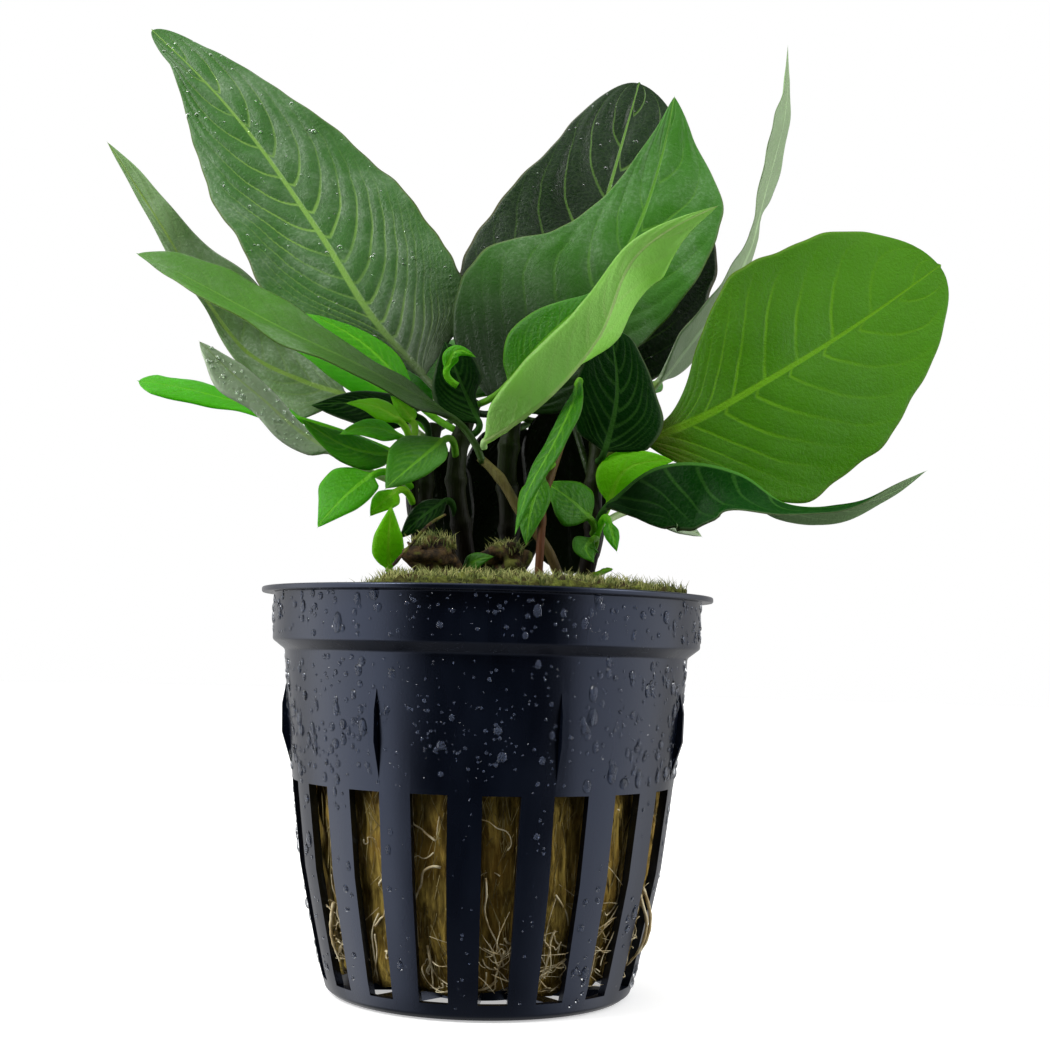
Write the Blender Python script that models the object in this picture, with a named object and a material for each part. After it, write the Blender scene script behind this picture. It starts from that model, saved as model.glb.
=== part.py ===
"""Potted hygrophila: a net pot, its rock wool and moss, and the plant's stems, leaves and roots.

All sizes are written in millimetres and turned into metres when a mesh is made.
+Z is up, the origin is the middle of the pot's underside, and -Y is the front.
"""
import bpy
import bmesh
import numpy as np
from math import atan2, cos, pi, radians, sin, sqrt

MM = 0.001
GAP = 0.3

# Pot
RIM_RADIUS = 28.5
RIM_HEIGHT = 49.4
RIM_THICKNESS = 0.7
COLLAR_RADIUS = 26.95
COLLAR_BOTTOM = 42.9
WALL = 1.0
FLOOR_THICKNESS = 1.1
POT_STEPS = 36
# outer radius of the tapered body at rising heights
BODY = ((18.3, 0), (19, 0.5), (19.9, 3.5), (21.3, 9.6), (22.6, 15.7), (23.8, 24.9), (24.9, 35.6), (25.4, 41.7))

SLOTS = 18
FIRST_SLOT_ANGLE = 5.1
SLOT_BOTTOM, SLOT_TOP = 1.9, 25.8
SLOT_HALF_BOTTOM, SLOT_HALF_TOP = 1.7, 2.2

FLOOR_OPENINGS = 9
FLOOR_DISC_RADIUS = 7.5
FLOOR_RING_RADIUS = 16.2
FLOOR_SPOKE = 2.2

FINS = 7
FIRST_FIN_ANGLE = -30.5
FIN_THICKNESS = 0.8
FIN_SIDE = ((24.4, 38.0), (25.1, 37.4), (25.5, 35.0), (25.4, 31.5), (23.9, 26.8), (23.3, 27.5))

# Rock wool and moss
WOOL_BOTTOM, WOOL_TOP = 3.2, 46.6
WOOL_CLEARANCE = 0.9
MOSS_RADIUS = 25.2
MOSS_TOP = 50.4
PLANTING_DEPTH = 4.0
SOFT_STEPS = 24

# Stems: radius, then the points that each one passes through above its foot
STEMS = {
    "stem_front": (0.62, ((8.6, -7.2, 51.5), (7.5, -7.8, 54), (3.5, -7.5, 59.5), (1, -7, 63.5), (-1.5, -6, 66))),
    "stem_red": (0.5, ((6, -10.5, 51), (6.2, -10.5, 56), (6.4, -9.5, 60.5), (8, -7, 66), (10.5, -5, 74))),
    "stem_middle": (1.2, ((-2.5, -1, 51.5), (-3.5, -2, 57), (-4.5, -2, 63.5), (-4, -1, 69), (-2.5, 0, 74))),
    "stem_back": (1.3, ((2.5, 5, 53.5), (2.5, 5, 59), (2, 5.5, 66), (2.5, 6.3, 72), (2.8, 6.4, 77))),
    "stem_left": (1.1, ((-7.5, 3, 51.5), (-8.5, 3, 59), (-8.5, 4, 66), (-7.5, 5, 71.5))),
    "stem_right": (1.1, ((12, -3, 51.5), (13, -3, 56.5), (13, -2, 62), (13.5, 0, 68), (14, 2, 72))),
    "stem_young": (0.55, ((-9, -1, 51.5), (-9.5, -1.5, 57), (-9.8, -2, 63), (-10.2, -2.6, 68.8))),
}

# Leaves: the blade's half width is given at these shares of its length, base to tip
STATIONS = (0.0, 0.1, 0.3, 0.5, 0.7, 0.9, 1.0)
OVATE = (0.62, 1.0, 0.92, 0.62, 0.24)
PETIOLE_RADIUS = 0.45
BLADE_HALF_THICKNESS = 0.28
# Rings of a blade, as shares of its length, and the points across it, for a leaf longer or shorter than this
LARGE_LEAF = 17.0
LARGE_RINGS, LARGE_COLUMNS = (0, 0.06, 0.16, 0.3, 0.45, 0.6, 0.75, 0.89), (-1, -0.5, 0, 0.5, 1)
SMALL_RINGS, SMALL_COLUMNS = (0, 0.15, 0.4, 0.65, 0.87), (-1, 0, 1)
# share of the blade over which it thins from its stalk
BASE_SHARE = 0.2


class Leaf:
    """One leaf: where it grows from, the line of its midrib, its half widths and the way its upper face looks."""

    def __init__(self, name, origin, midrib, left, right, face, fold=(0, 0), curl=0, tone="mid"):
        self.name = name
        self.origin = origin
        self.midrib = np.array(midrib, float)
        self.left = left
        self.right = right
        self.face = np.array(face if isinstance(face[0], tuple) else (face, face), float)
        self.fold = fold
        self.curl = curl
        self.tone = tone


def ovate(half_width):
    return tuple(half_width * share for share in OVATE)


LEAVES = [
    Leaf("leaf_tall_left", ("stem_middle", 72.0),
         ((-9.2, 2.8, 77.5), (-15.5, 6, 84.5), (-24.5, 11, 98.5), (-36, 17, 114.5), (-50.5, 22, 130)),
         left=(2.5, 11.3, 10.6, 7.6, 2.2), right=(13.2, 14, 12, 8.1, 4.1), face=(0.1, -1, 0.35),
         curl=10, tone="sheen"),
    Leaf("leaf_far_left", ("stem_left", 69.5),
         ((-20, 12, 76), (-26, 12.5, 78), (-33.5, 13, 81.5), (-39.5, 13.5, 88.5), (-46.5, 13.5, 99.5),
          (-54, 13, 110.5)),
         left=(7, 2.2, 0.9, 1.2, 0.6), right=(5, 8.5, 7.8, 3.6, 1.7), face=(0.3, -0.9, 0.5), tone="grey"),
    Leaf("leaf_lance_left", ("stem_front", 65.3),
         ((-5.5, -7, 71), (-11.5, -7.5, 74), (-17.5, -8, 77), (-25, -8, 80.5), (-36, -8, 86), (-45, -6, 90.5)),
         left=(4, 5, 5.5, 5, 1.2), right=(2, 3.8, 5.8, 6.6, 4.2), face=(-0.3, -0.45, 1), fold=(8, 8), tone="grey"),
    Leaf("leaf_grey_left", ("stem_left", 62.5),
         ((-20.5, -2, 66.8), (-24.7, -2.5, 69.3), (-29.2, -3, 73), (-33, -3.5, 76), (-37.2, -4, 80)),
         left=(2.2, 2.8, 2.3, 3, 1.4), right=(0.9, 1.4, 2, 2.1, 1), face=(0.1, -1, 0.6), tone="grey"),
    Leaf("leaf_tongue_left", ("stem_left", 66.0),
         ((-25.3, 5, 71.7), (-34.5, 4.5, 73.8), (-39, 4, 74.8), (-46.1, 3, 75.9)),
         left=(2, 2.4, 2.8, 3.2, 3.4), right=(2, 2.4, 2.8, 3.2, 3), face=(0.1, -0.7, 1), tone="bright"),
    Leaf("leaf_bright_left_low", ("stem_left", 70.5),
         ((-13, 3, 74.5), (-19.5, 4, 78.5), (-27, 5, 81.5)),
         left=ovate(2.8), right=ovate(1.5), face=(0.2, -0.8, 0.5), tone="bright"),
    Leaf("leaf_bright_left_high", ("stem_middle", 70.0),
         ((-10.5, 0.5, 74.5), (-17, 0, 81), (-24.5, 1, 85)),
         left=ovate(3), right=ovate(2.5), face=(0.2, -0.8, 0.5), tone="bright"),
    Leaf("leaf_dark_left", ("stem_left", 67.5),
         ((-9.8, 1.4, 72), (-15, 1.2, 73.2), (-23.4, 0.6, 73)),
         left=ovate(4), right=ovate(2.6), face=(0.1, -0.8, 0.5), tone="dark"),
    Leaf("young_leaf_a", ("stem_young", 67.4),
         ((-11.8, -4.6, 68.6), (-15.1, -5.5, 69.4), (-19, -6, 68.5)),
         left=ovate(2.2), right=ovate(2.0), face=(0.2, -0.7, 0.7), tone="bright"),
    Leaf("young_leaf_b", ("stem_young", 68.2),
         ((-11.9, -2.3, 70.9), (-14.9, -2.4, 72.5), (-18.6, -2.8, 72.9)),
         left=ovate(2), right=ovate(2), face=(0.2, -0.7, 0.7), tone="bright"),
    Leaf("young_leaf_c", ("stem_young", 68.6),
         ((-10.3, -0.5, 71.1), (-11.5, -0.1, 72.6), (-13.2, -0.2, 74.4)),
         left=ovate(1.6), right=ovate(1.6), face=(0.2, -0.7, 0.7), tone="yellow"),
    Leaf("leaf_olive_left", ("stem_young", 64.5),
         ((-12.6, -2.8, 66.3), (-17.7, -4, 66.9), (-23.8, -6, 70.2)),
         left=ovate(3), right=ovate(2.6), face=(0.1, -0.8, 0.6), tone="mid"),
    Leaf("leaf_low_front", ("stem_middle", 66.5),
         ((-6.1, -6.4, 68), (-9.2, -8.5, 65), (-12.8, -10.5, 61.4)),
         left=ovate(2.8), right=ovate(4.6), face=(-0.2, -0.9, 0.5), tone="mid"),
    Leaf("leaf_pointed_low_left", ("stem_young", 62.5),
         ((-14.8, -6, 63.4), (-17.6, -7.5, 60.8), (-21, -9, 56.6)),
         left=(2.3, 2.6, 2.4, 1.7, 0.7), right=(3, 4.4, 4.2, 2.6, 0.9), face=(-0.2, -0.9, 0.5), tone="bright"),
    Leaf("leaf_tiny_low_left", ("stem_young", 60.5),
         ((-11.8, -5, 61.6), (-13.3, -6, 60.1), (-14.8, -7, 58.3)),
         left=ovate(1.7), right=ovate(1.9), face=(-0.2, -0.9, 0.5), tone="bright"),
    Leaf("sprout_leaf_left", ((-12.2, -4.8, 51.0), None),
         ((-12.4, -5.4, 52), (-12.5, -7, 55), (-12.2, -8, 59.5)),
         left=ovate(2), right=ovate(2), face=(0.1, -1, 0.1), tone="bright"),
    Leaf("leaf_dark_low_left", ("stem_middle", 57.8),
         ((-5.8, -3.6, 60.6), (-8.4, -4.3, 58.6), (-11.2, -5, 55.8)),
         left=ovate(1.8), right=ovate(2.2), face=(-0.2, -0.9, 0.5), tone="dark"),
    Leaf("leaf_dark_back", ("stem_back", 73.4),
         ((6.5, 8, 73.5), (10.5, 12, 88), (15, 18, 105.5), (20, 24, 125.2)),
         left=(13, 16.9, 14.8, 10.4, 5.8), right=(8.8, 17, 17.6, 13.6, 7.6), face=(0.1, -1, 0.3), tone="dark"),
    Leaf("leaf_broad_right", ("stem_middle", 72.6),
         ((0.5, 1, 73.2), (8.5, 4, 84), (17.5, 8, 96.5), (22, 11, 109.5), (24, 13, 119.5)),
         left=(11.5, 16, 10, 5.4, 1.7), right=(7, 9, 10, 10.6, 3.6), face=(0, -1, 0.3), tone="mid"),
    Leaf("leaf_pale_front", ((-1.0, -6.6, 67.2), None),
         ((-0.8, -7.4, 68), (5.5, -11, 72), (12.5, -14, 80), (16.5, -16, 89.5), (26, -18, 95.5)),
         left=(1.5, 3, 4.5, 5, 1.5), right=(4, 5.5, 4.5, 2, 0.7), face=(-0.4, 1, 0.2),
         fold=((70, 95, 40, 10, 0), 0), tone="pale"),
    Leaf("leaf_round_right", ("stem_right", 67.0),
         ((19.3, -1.5, 69.2), (26, -1.3, 72.2), (35, 0, 77.6), (46, 3, 85), (59, 5, 94.8)),
         left=(2.2, 9.6, 14.6, 13.8, 9.6), right=(6.4, 16.2, 15.4, 12, 6.8), face=(0.1, -1, 0.2), tone="olive"),
    Leaf("leaf_slender_right", ("stem_right", 69.5),
         ((21.9, 5, 78.3), (29.1, 9, 88), (34.9, 14, 98.4), (37, 17, 105.9), (38.9, 20, 112.4), (40.8, 22, 119.5),
          (41.9, 25, 131.9)),
         left=(3.5, 2.8, 1.8, 4.2, 1.4), right=(3.5, 2.8, 1.8, 4.2, 1.4), face=(-0.8, 0.45, 0.3), tone="grey"),
    Leaf("leaf_twisted_low_right", ("stem_right", 56.8),
         ((14.4, -5.8, 60.2), (20.5, -8, 65.2), (25.3, -9.5, 65.6), (30.3, -10.5, 64.2), (35.6, -11.5, 60.6),
          (43.6, -12, 60.8), (53.3, -10, 65.4)),
         left=(2, 3, 3, 3, 1.8), right=(7.6, 8.6, 5.4, 3, 1.4),
         face=((0, -0.3, 1), (0, -0.3, 1), (0, 0.2, 1), (0, 0.5, 1)), fold=((-70, -70, -20, 0), (-62, -62, -20, 0)),
         tone="dark"),
    Leaf("leaf_yellow_right", ("stem_right", 58.6),
         ((15, -3.4, 61.2), (16.5, -4.2, 64.8), (22.7, -4.8, 66.4)),
         left=ovate(3), right=ovate(2.6), face=(0.1, -0.9, 0.4), tone="yellow"),
    Leaf("leaf_dark_centre", ("stem_right", 66.5),
         ((14.2, -3.8, 67.6), (15.6, -3.2, 74.4), (14.6, -2, 83.6)),
         left=(4.4, 5.6, 5.6, 4.4, 2.8), right=(5.2, 6.4, 5, 3.8, 2.6), face=(0.1, -0.9, 0.3), tone="dark"),
    Leaf("leaf_hanging_front", ((10.4, -6.4, 75.4), None),
         ((10.6, -8, 75.6), (10, -10.5, 73), (7.5, -13, 67), (4.5, -14, 61), (3, -14, 56)),
         left=(1, 2, 2, 1.5, 0.7), right=(1, 2, 2, 1.5, 0.7), face=(-0.7, -0.6, 0.3), tone="mid"),
    Leaf("leaf_bright_centre", ("stem_middle", 73.5),
         ((2, -4, 76), (6.5, -5.2, 81.5), (13, -6, 87.5)),
         left=ovate(4.2), right=ovate(3), face=(0.1, -0.9, 0.4), tone="bright"),
    Leaf("leaf_tip_centre", ((-4.6, -3.4, 75.4), None),
         ((-6, -3.8, 77.4), (-4.8, -4.2, 79.6), (-2.4, -4.2, 79)),
         left=ovate(1.2), right=ovate(1), face=(0.1, -0.9, 0.4), tone="bright"),
    Leaf("leaf_dark_inner", ("stem_middle", 69.0),
         ((-1.8, -2.4, 71), (-4, -2.2, 75.4), (-6.4, -1.2, 81.4)),
         left=ovate(4.2), right=(0.7, 1.3, 3.2, 3, 1.2), face=(0.1, -0.9, 0.4), tone="dark"),
    Leaf("leaf_green_low_front", ("stem_red", 65.2),
         ((6.2, -9.5, 63.5), (5, -10.5, 59.5), (4.4, -11, 55)),
         left=ovate(2), right=ovate(2), face=(-0.1, -0.9, 0.4), tone="mid"),
    Leaf("leaf_veined_low", ("stem_right", 57.0),
         ((12.3, -6.4, 58.8), (10.3, -6.7, 60.6), (6.8, -6.6, 63)),
         left=ovate(3.4), right=ovate(3.4), face=(0.1, -0.9, 0.5), tone="mid"),
    Leaf("leaf_small_low_right_a", ("stem_right", 55.6),
         ((14.6, -7.8, 58.2), (15, -8.2, 56.6), (15.6, -8.8, 54.6)),
         left=ovate(1.1), right=ovate(1.1), face=(0.3, -0.9, 0.5), tone="bright"),
    Leaf("leaf_small_low_right_b", ("stem_right", 53.8),
         ((12.6, -7.2, 56), (11.8, -8, 55), (12.8, -8.8, 53.2)),
         left=ovate(1.8), right=ovate(1.8), face=(0.3, -0.9, 0.5), tone="mid"),
    Leaf("sprout_leaf_right", ((12.5, -9, 51.0), None),
         ((13, -9, 51.6), (14, -10, 52), (15, -11, 52.3)),
         left=ovate(1), right=ovate(1), face=(0.1, -0.7, 0.8), tone="olive"),
    Leaf("leaf_pale_low_right", ("stem_right", 58.0),
         ((22, 0.5, 60), (24.5, 0, 58.6), (27, -1, 57.3)),
         left=ovate(2), right=ovate(2), face=(0.1, -0.7, 0.8), tone="grey"),
    Leaf("sprout_leaf_centre", ((-3, -7, 51.3), None),
         ((-3, -7.5, 52), (-1.5, -9, 53), (0.5, -10, 53.5)),
         left=ovate(1.2), right=ovate(1.2), face=(0.1, -0.9, 0.3), tone="mid"),
    Leaf("leaf_back_left", ("stem_left", 68.0),
         ((-13, 14, 74), (-18, 24, 84), (-24, 36, 93)),
         left=ovate(9), right=ovate(9), face=(0.3, -0.5, 0.85), tone="mid"),
    Leaf("leaf_back_middle", ("stem_left", 71.0),
         ((-3, 15, 77), (-1, 27, 86), (-3, 39, 91)),
         left=ovate(9.5), right=ovate(9.5), face=(0.0, -0.6, 0.8), tone="mid"),
    Leaf("leaf_back_right", ("stem_back", 71.5),
         ((9, 13, 75), (17, 24, 80), (24, 36, 83)),
         left=ovate(8.5), right=ovate(8.5), face=(-0.2, -0.4, 0.9), tone="mid"),
    Leaf("leaf_back_low_left", ("stem_left", 66.0),
         ((-7.4, 8.4, 69), (-6.8, 12.6, 62), (-5.6, 15, 53)),
         left=(3, 4.6, 4.6, 4.4, 3.4), right=(3, 4.4, 4.4, 4, 3), face=(0, 0.95, 0.35), tone="dark"),
    Leaf("leaf_back_low_middle", ("stem_back", 63.5),
         ((2.6, 9.8, 73), (1.8, 14, 63), (0.4, 16.6, 51.8)),
         left=(4, 6, 6.4, 6, 4.4), right=(4, 7, 7, 6, 4.4), face=(0, 0.95, 0.35), tone="dark"),
    Leaf("leaf_back_low_right", ("stem_right", 64.0),
         ((8.8, 4.8, 75), (10.2, 9.2, 65), (11, 12.6, 52.6)),
         left=(4, 6, 6, 5, 4), right=(4, 6, 6, 5, 4), face=(0.1, 0.95, 0.35), tone="dark"),
]

# Small pieces on the moss: centre and half sizes
DEBRIS = {
    "debris_left": ((-6.8, -9.0, 53.6), (3.2, 2.2, 2.4)),
    "debris_right": ((2.0, -5.4, 53.2), (2.8, 2.2, 2.2)),
}
TWIG = (0.22, ((-11.5, -12.5, 52.0), (-9.5, -12.0, 54.5), (-7.5, -11.2, 57.0), (-5.5, -9.5, 58.5)))

# Roots that hang out of the slots: radius, then (distance from the pot's axis, angle, height)
ROOTS = {
    "root_right_a": (0.22, ((21.7, 64, 17), (21.3, 64.3, 13.5), (22.2, 64.6, 10), (21.5, 64.2, 7),
                            (19.8, 64.6, 4.8))),
    "root_right_b": (0.22, ((21.3, 67.2, 14), (22.3, 67.4, 10.2), (21.7, 67, 7.4), (19.9, 67.3, 5.2))),
    "root_left": (0.22, ((21.1, -55, 12), (21.2, -55.6, 8.8), (19.9, -55.2, 5))),
}

COLOURS = {
    "pot": (0.02, 0.025, 0.05), "wool": (0.22, 0.19, 0.07), "moss": (0.3, 0.33, 0.1),
    "stem": (0.16, 0.17, 0.05), "debris": (0.04, 0.025, 0.01), "root": (0.6, 0.55, 0.4),
    "sheen": (0.08, 0.22, 0.07), "grey": (0.25, 0.36, 0.22), "bright": (0.12, 0.4, 0.03),
    "mid": (0.06, 0.22, 0.03), "dark": (0.01, 0.07, 0.01), "pale": (0.3, 0.45, 0.14),
    "olive": (0.14, 0.26, 0.02), "yellow": (0.3, 0.45, 0.03),
}
ROUGHNESS = {"pot": 0.35, "wool": 0.95, "moss": 0.95, "debris": 0.85, "root": 0.6}
LIVING_ROUGHNESS = 0.45


def unit(vector):
    vector = np.asarray(vector, float)
    return vector / np.linalg.norm(vector)


def smooth(share):
    return share * share * (3 - 2 * share)


def along_curve(points, share):
    """Point and direction at a share of the way along a smooth curve through the points."""
    points = np.asarray(points, float)
    steps = np.linalg.norm(np.diff(points, axis=0), axis=1)
    knots = np.concatenate([[0.0], np.cumsum(steps)]) / steps.sum()
    slopes = np.diff(points, axis=0) / np.diff(knots)[:, None]
    tangents = [slopes[0]]
    for i in range(1, len(points) - 1):
        before, after = knots[i] - knots[i - 1], knots[i + 1] - knots[i]
        tangents.append((slopes[i - 1] * after + slopes[i] * before) / (before + after))
    tangents.append(slopes[-1])
    if len(points) > 2:
        tangents[0] = 1.5 * slopes[0] - 0.5 * tangents[1]
        tangents[-1] = 1.5 * slopes[-1] - 0.5 * tangents[-2]
    i = min(max(int(np.searchsorted(knots, share, side="right")) - 1, 0), len(points) - 2)
    h = knots[i + 1] - knots[i]
    u = (share - knots[i]) / h
    point = ((2 * u**3 - 3 * u**2 + 1) * points[i] + (u**3 - 2 * u**2 + u) * h * tangents[i]
             + (3 * u**2 - 2 * u**3) * points[i + 1] + (u**3 - u**2) * h * tangents[i + 1])
    direction = ((6 * u**2 - 6 * u) * (points[i] - points[i + 1]) / h
                 + (3 * u**2 - 4 * u + 1) * tangents[i] + (3 * u**2 - 2 * u) * tangents[i + 1])
    return point, unit(direction)


def value_along(values, share):
    """A number, or a tuple of numbers spread evenly from base to tip, read at a share of the length."""
    if not isinstance(values, tuple):
        return values
    x = share * (len(values) - 1)
    i = min(int(x), len(values) - 2)
    return values[i] + (values[i + 1] - values[i]) * (x - i)


def half_width(widths, share):
    """Half width of a blade: a smooth curve through the five stations, zero at both ends."""
    values = [0.0, *widths, 0.0]
    slopes = [(values[i + 1] - values[i]) / (STATIONS[i + 1] - STATIONS[i]) for i in range(len(values) - 1)]
    tangents = [1.5 * slopes[0]]
    for before, after in zip(slopes[:-1], slopes[1:]):
        tangents.append(2 * before * after / (before + after) if before * after > 0 else 0.0)
    tangents.append(1.15 * slopes[-1])
    i = min(max(int(np.searchsorted(STATIONS, share, side="right")) - 1, 0), len(slopes) - 1)
    h = STATIONS[i + 1] - STATIONS[i]
    u = (share - STATIONS[i]) / h
    width = ((2 * u**3 - 3 * u**2 + 1) * values[i] + (u**3 - 2 * u**2 + u) * h * tangents[i]
             + (3 * u**2 - 2 * u**3) * values[i + 1] + (u**3 - u**2) * h * tangents[i + 1])
    return max(width, 0.0)


def blade_frame(leaf, share):
    """Midrib point with the directions along it, to the leaf's right, and out of its upper face."""
    point, forward = along_curve(leaf.midrib, share)
    x = share * (len(leaf.face) - 1)
    i = min(int(x), len(leaf.face) - 2)
    face = unit(leaf.face[i]) + (unit(leaf.face[i + 1]) - unit(leaf.face[i])) * smooth(x - i)
    right = unit(np.cross(forward, face))
    return point, forward, right, np.cross(right, forward)


def blade_point(leaf, share, across):
    """Point of the blade's middle surface; across runs from -1 at the left margin to 1 at the right."""
    point, forward, right, up = blade_frame(leaf, share)
    side = 1 if across > 0 else -1
    widths = leaf.right if side > 0 else leaf.left
    distance = abs(across) * half_width(widths, share)
    reach = distance / max(widths)
    angle = radians(value_along(leaf.fold[1 if side > 0 else 0], share) + leaf.curl * reach / 2)
    return point + right * side * distance * cos(angle) + up * distance * sin(angle)


def stem_point(name, height):
    """Centre of a stem at a height."""
    low, high = 0.0, 1.0
    for _ in range(30):
        middle = (low + high) / 2
        if along_curve(STEMS[name][1], middle)[0][2] < height:
            low = middle
        else:
            high = middle
    return along_curve(STEMS[name][1], middle)[0]


def leaf_root(leaf):
    """Where the petiole starts: a free point, or beside its stem, with the gap that touching pieces keep."""
    place, height = leaf.origin
    if height is None:
        return np.array(place, float)
    centre = stem_point(place, height)
    outward = leaf.midrib[0] - centre
    outward[2] = 0.0
    return centre + unit(outward) * (STEMS[place][0] + GAP + PETIOLE_RADIUS)


def petiole_point(leaf, share):
    """Point and direction on the stalk between the stem and the blade."""
    root, base = leaf_root(leaf), leaf.midrib[0]
    bend = base - along_curve(leaf.midrib, 0)[1] * np.linalg.norm(base - root) * 0.45
    point = (1 - share)**2 * root + 2 * share * (1 - share) * bend + share**2 * base
    return point, unit((1 - share) * (bend - root) + share * (base - bend))


def new_object(name, vertices, faces, colour, smooth_angle=50):
    """Closed mesh in the scene, from millimetre points, with its own material."""
    mesh = bpy.data.meshes.new(name)
    shape = bmesh.new()
    corners = [shape.verts.new([float(value) * MM for value in vertex]) for vertex in vertices]
    for face in faces:
        shape.faces.new([corners[i] for i in face])
    bmesh.ops.recalc_face_normals(shape, faces=shape.faces)
    shape.to_mesh(mesh)
    shape.free()
    mesh.shade_smooth()
    mesh.set_sharp_from_angle(angle=radians(smooth_angle))
    piece = bpy.data.objects.new(name, mesh)
    bpy.context.scene.collection.objects.link(piece)
    if colour:
        piece.data.materials.append(material(name, colour))
    return piece


def material(name, colour):
    surface = bpy.data.materials.new(name)
    surface.use_nodes = True
    shader = surface.node_tree.nodes["Principled BSDF"]
    shader.inputs["Base Color"].default_value = (*COLOURS[colour], 1)
    shader.inputs["Roughness"].default_value = ROUGHNESS.get(colour, LIVING_ROUGHNESS)
    return surface


def bridged(rings, start_cap=True, end_cap=True):
    """Faces between rings of equal size that are numbered one after another."""
    count = len(rings[0])
    faces = []
    for i in range(len(rings) - 1):
        for j in range(count):
            k = (j + 1) % count
            faces.append((i * count + j, i * count + k, (i + 1) * count + k, (i + 1) * count + j))
    if start_cap:
        faces.append(tuple(range(count)))
    if end_cap:
        faces.append(tuple((len(rings) - 1) * count + j for j in range(count)))
    return faces


def tube(name, centres, radii, sides, colour):
    """Closed tube along the points, with a flat end at each end."""
    centres = [np.asarray(centre, float) for centre in centres]
    rings = []
    side = None
    for i, (centre, radius) in enumerate(zip(centres, radii)):
        forward = unit(centres[min(i + 1, len(centres) - 1)] - centres[max(i - 1, 0)])
        if side is None:
            side = unit(np.cross(forward, (0.3, 1, 0.1)))
        side = unit(side - forward * np.dot(side, forward))
        other = np.cross(forward, side)
        turns = [2 * pi * k / sides for k in range(sides)]
        rings.append([centre + (side * cos(turn) + other * sin(turn)) * radius for turn in turns])
    vertices = [vertex for ring in rings for vertex in ring]
    return new_object(name, vertices, bridged(rings), colour)


def turned(name, profile, steps, colour, lumps=None):
    """Closed solid of revolution about Z from a profile of (radius, height); both ends get a flat cap."""
    rings = []
    for radius, height in profile:
        ring = []
        for k in range(steps):
            turn = 2 * pi * k / steps
            x, y, z = radius * cos(turn), radius * sin(turn), height
            if lumps:
                x, y, z = lumps(x, y, z)
            ring.append((x, y, z))
        rings.append(ring)
    vertices = [vertex for ring in rings for vertex in ring]
    return new_object(name, vertices, bridged(rings), colour)


def body_radius(height):
    heights = [point[1] for point in BODY]
    return float(np.interp(height, heights, [point[0] for point in BODY]))


def cut(piece, cutter, operation="DIFFERENCE"):
    modifier = piece.modifiers.new(cutter.name, "BOOLEAN")
    modifier.operation = operation
    modifier.solver = "EXACT"
    modifier.object = cutter
    cutter.hide_render = True
    cutter.display_type = "WIRE"


def prism(outline, low, high):
    """Vertices and faces of an upright prism over a flat outline."""
    count = len(outline)
    vertices = [(x, y, low) for x, y in outline] + [(x, y, high) for x, y in outline]
    faces = [tuple(range(count)), tuple(range(count, 2 * count))]
    faces += [(k, (k + 1) % count, (k + 1) % count + count, k + count) for k in range(count)]
    return vertices, faces


def joined(shapes):
    """Vertices and faces of several shapes as one list."""
    vertices, faces = [], []
    for more_vertices, more_faces in shapes:
        faces += [tuple(i + len(vertices) for i in face) for face in more_faces]
        vertices += more_vertices
    return vertices, faces


def around(radius, angle):
    """Plan position at an angle in degrees that starts at the front and turns towards +X."""
    return radius * sin(radians(angle)), -radius * cos(radians(angle))


def slot_cutter():
    """Tapered boxes through the wall, one for each slot."""
    shapes = []
    near, far = FLOOR_RING_RADIUS + 0.4, RIM_RADIUS
    for k in range(SLOTS):
        angle = FIRST_SLOT_ANGLE + k * 360 / SLOTS
        vertices = []
        for height, half in ((SLOT_BOTTOM, SLOT_HALF_BOTTOM), (SLOT_TOP, SLOT_HALF_TOP)):
            for radius, side in ((near, -half), (far, -half), (far, half), (near, half)):
                out_x, out_y = around(radius, angle)
                side_x, side_y = around(side, angle + 90)
                vertices.append((out_x + side_x, out_y + side_y, height))
        faces = [(0, 1, 2, 3), (4, 5, 6, 7)] + [(i, (i + 1) % 4, (i + 1) % 4 + 4, i + 4) for i in range(4)]
        shapes.append((vertices, faces))
    return new_object("slot_cutter", *joined(shapes), None)


def floor_cutter():
    """Openings of the floor between the spokes."""
    shapes = []
    period = 360 / FLOOR_OPENINGS
    for k in range(FLOOR_OPENINGS):
        middle = FIRST_SLOT_ANGLE + 180 / SLOTS + k * period
        outline = []
        for radius, turns in ((FLOOR_DISC_RADIUS, (-1, 1)), (FLOOR_RING_RADIUS, (1, 0.33, -0.33, -1))):
            half = period / 2 - np.degrees(FLOOR_SPOKE / 2 / radius)
            outline += [around(radius, middle + turn * half) for turn in turns]
        shapes.append(prism(outline, -1.0, FLOOR_THICKNESS + 0.4))
    return new_object("floor_cutter", *joined(shapes), None)


def fin_shapes():
    """Small upright ribs on the outside of the pot."""
    shapes = []
    for k in range(FINS):
        angle = FIRST_FIN_ANGLE + k * 360 / FINS
        rings = []
        for side in (-FIN_THICKNESS / 2, FIN_THICKNESS / 2):
            side_x, side_y = around(side, angle + 90)
            ring = []
            for radius, height in FIN_SIDE:
                out_x, out_y = around(radius, angle)
                ring.append((out_x + side_x, out_y + side_y, height))
            rings.append(ring)
        shapes.append((rings[0] + rings[1], bridged(rings)))
    return new_object("fin_shapes", *joined(shapes), None)


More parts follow.
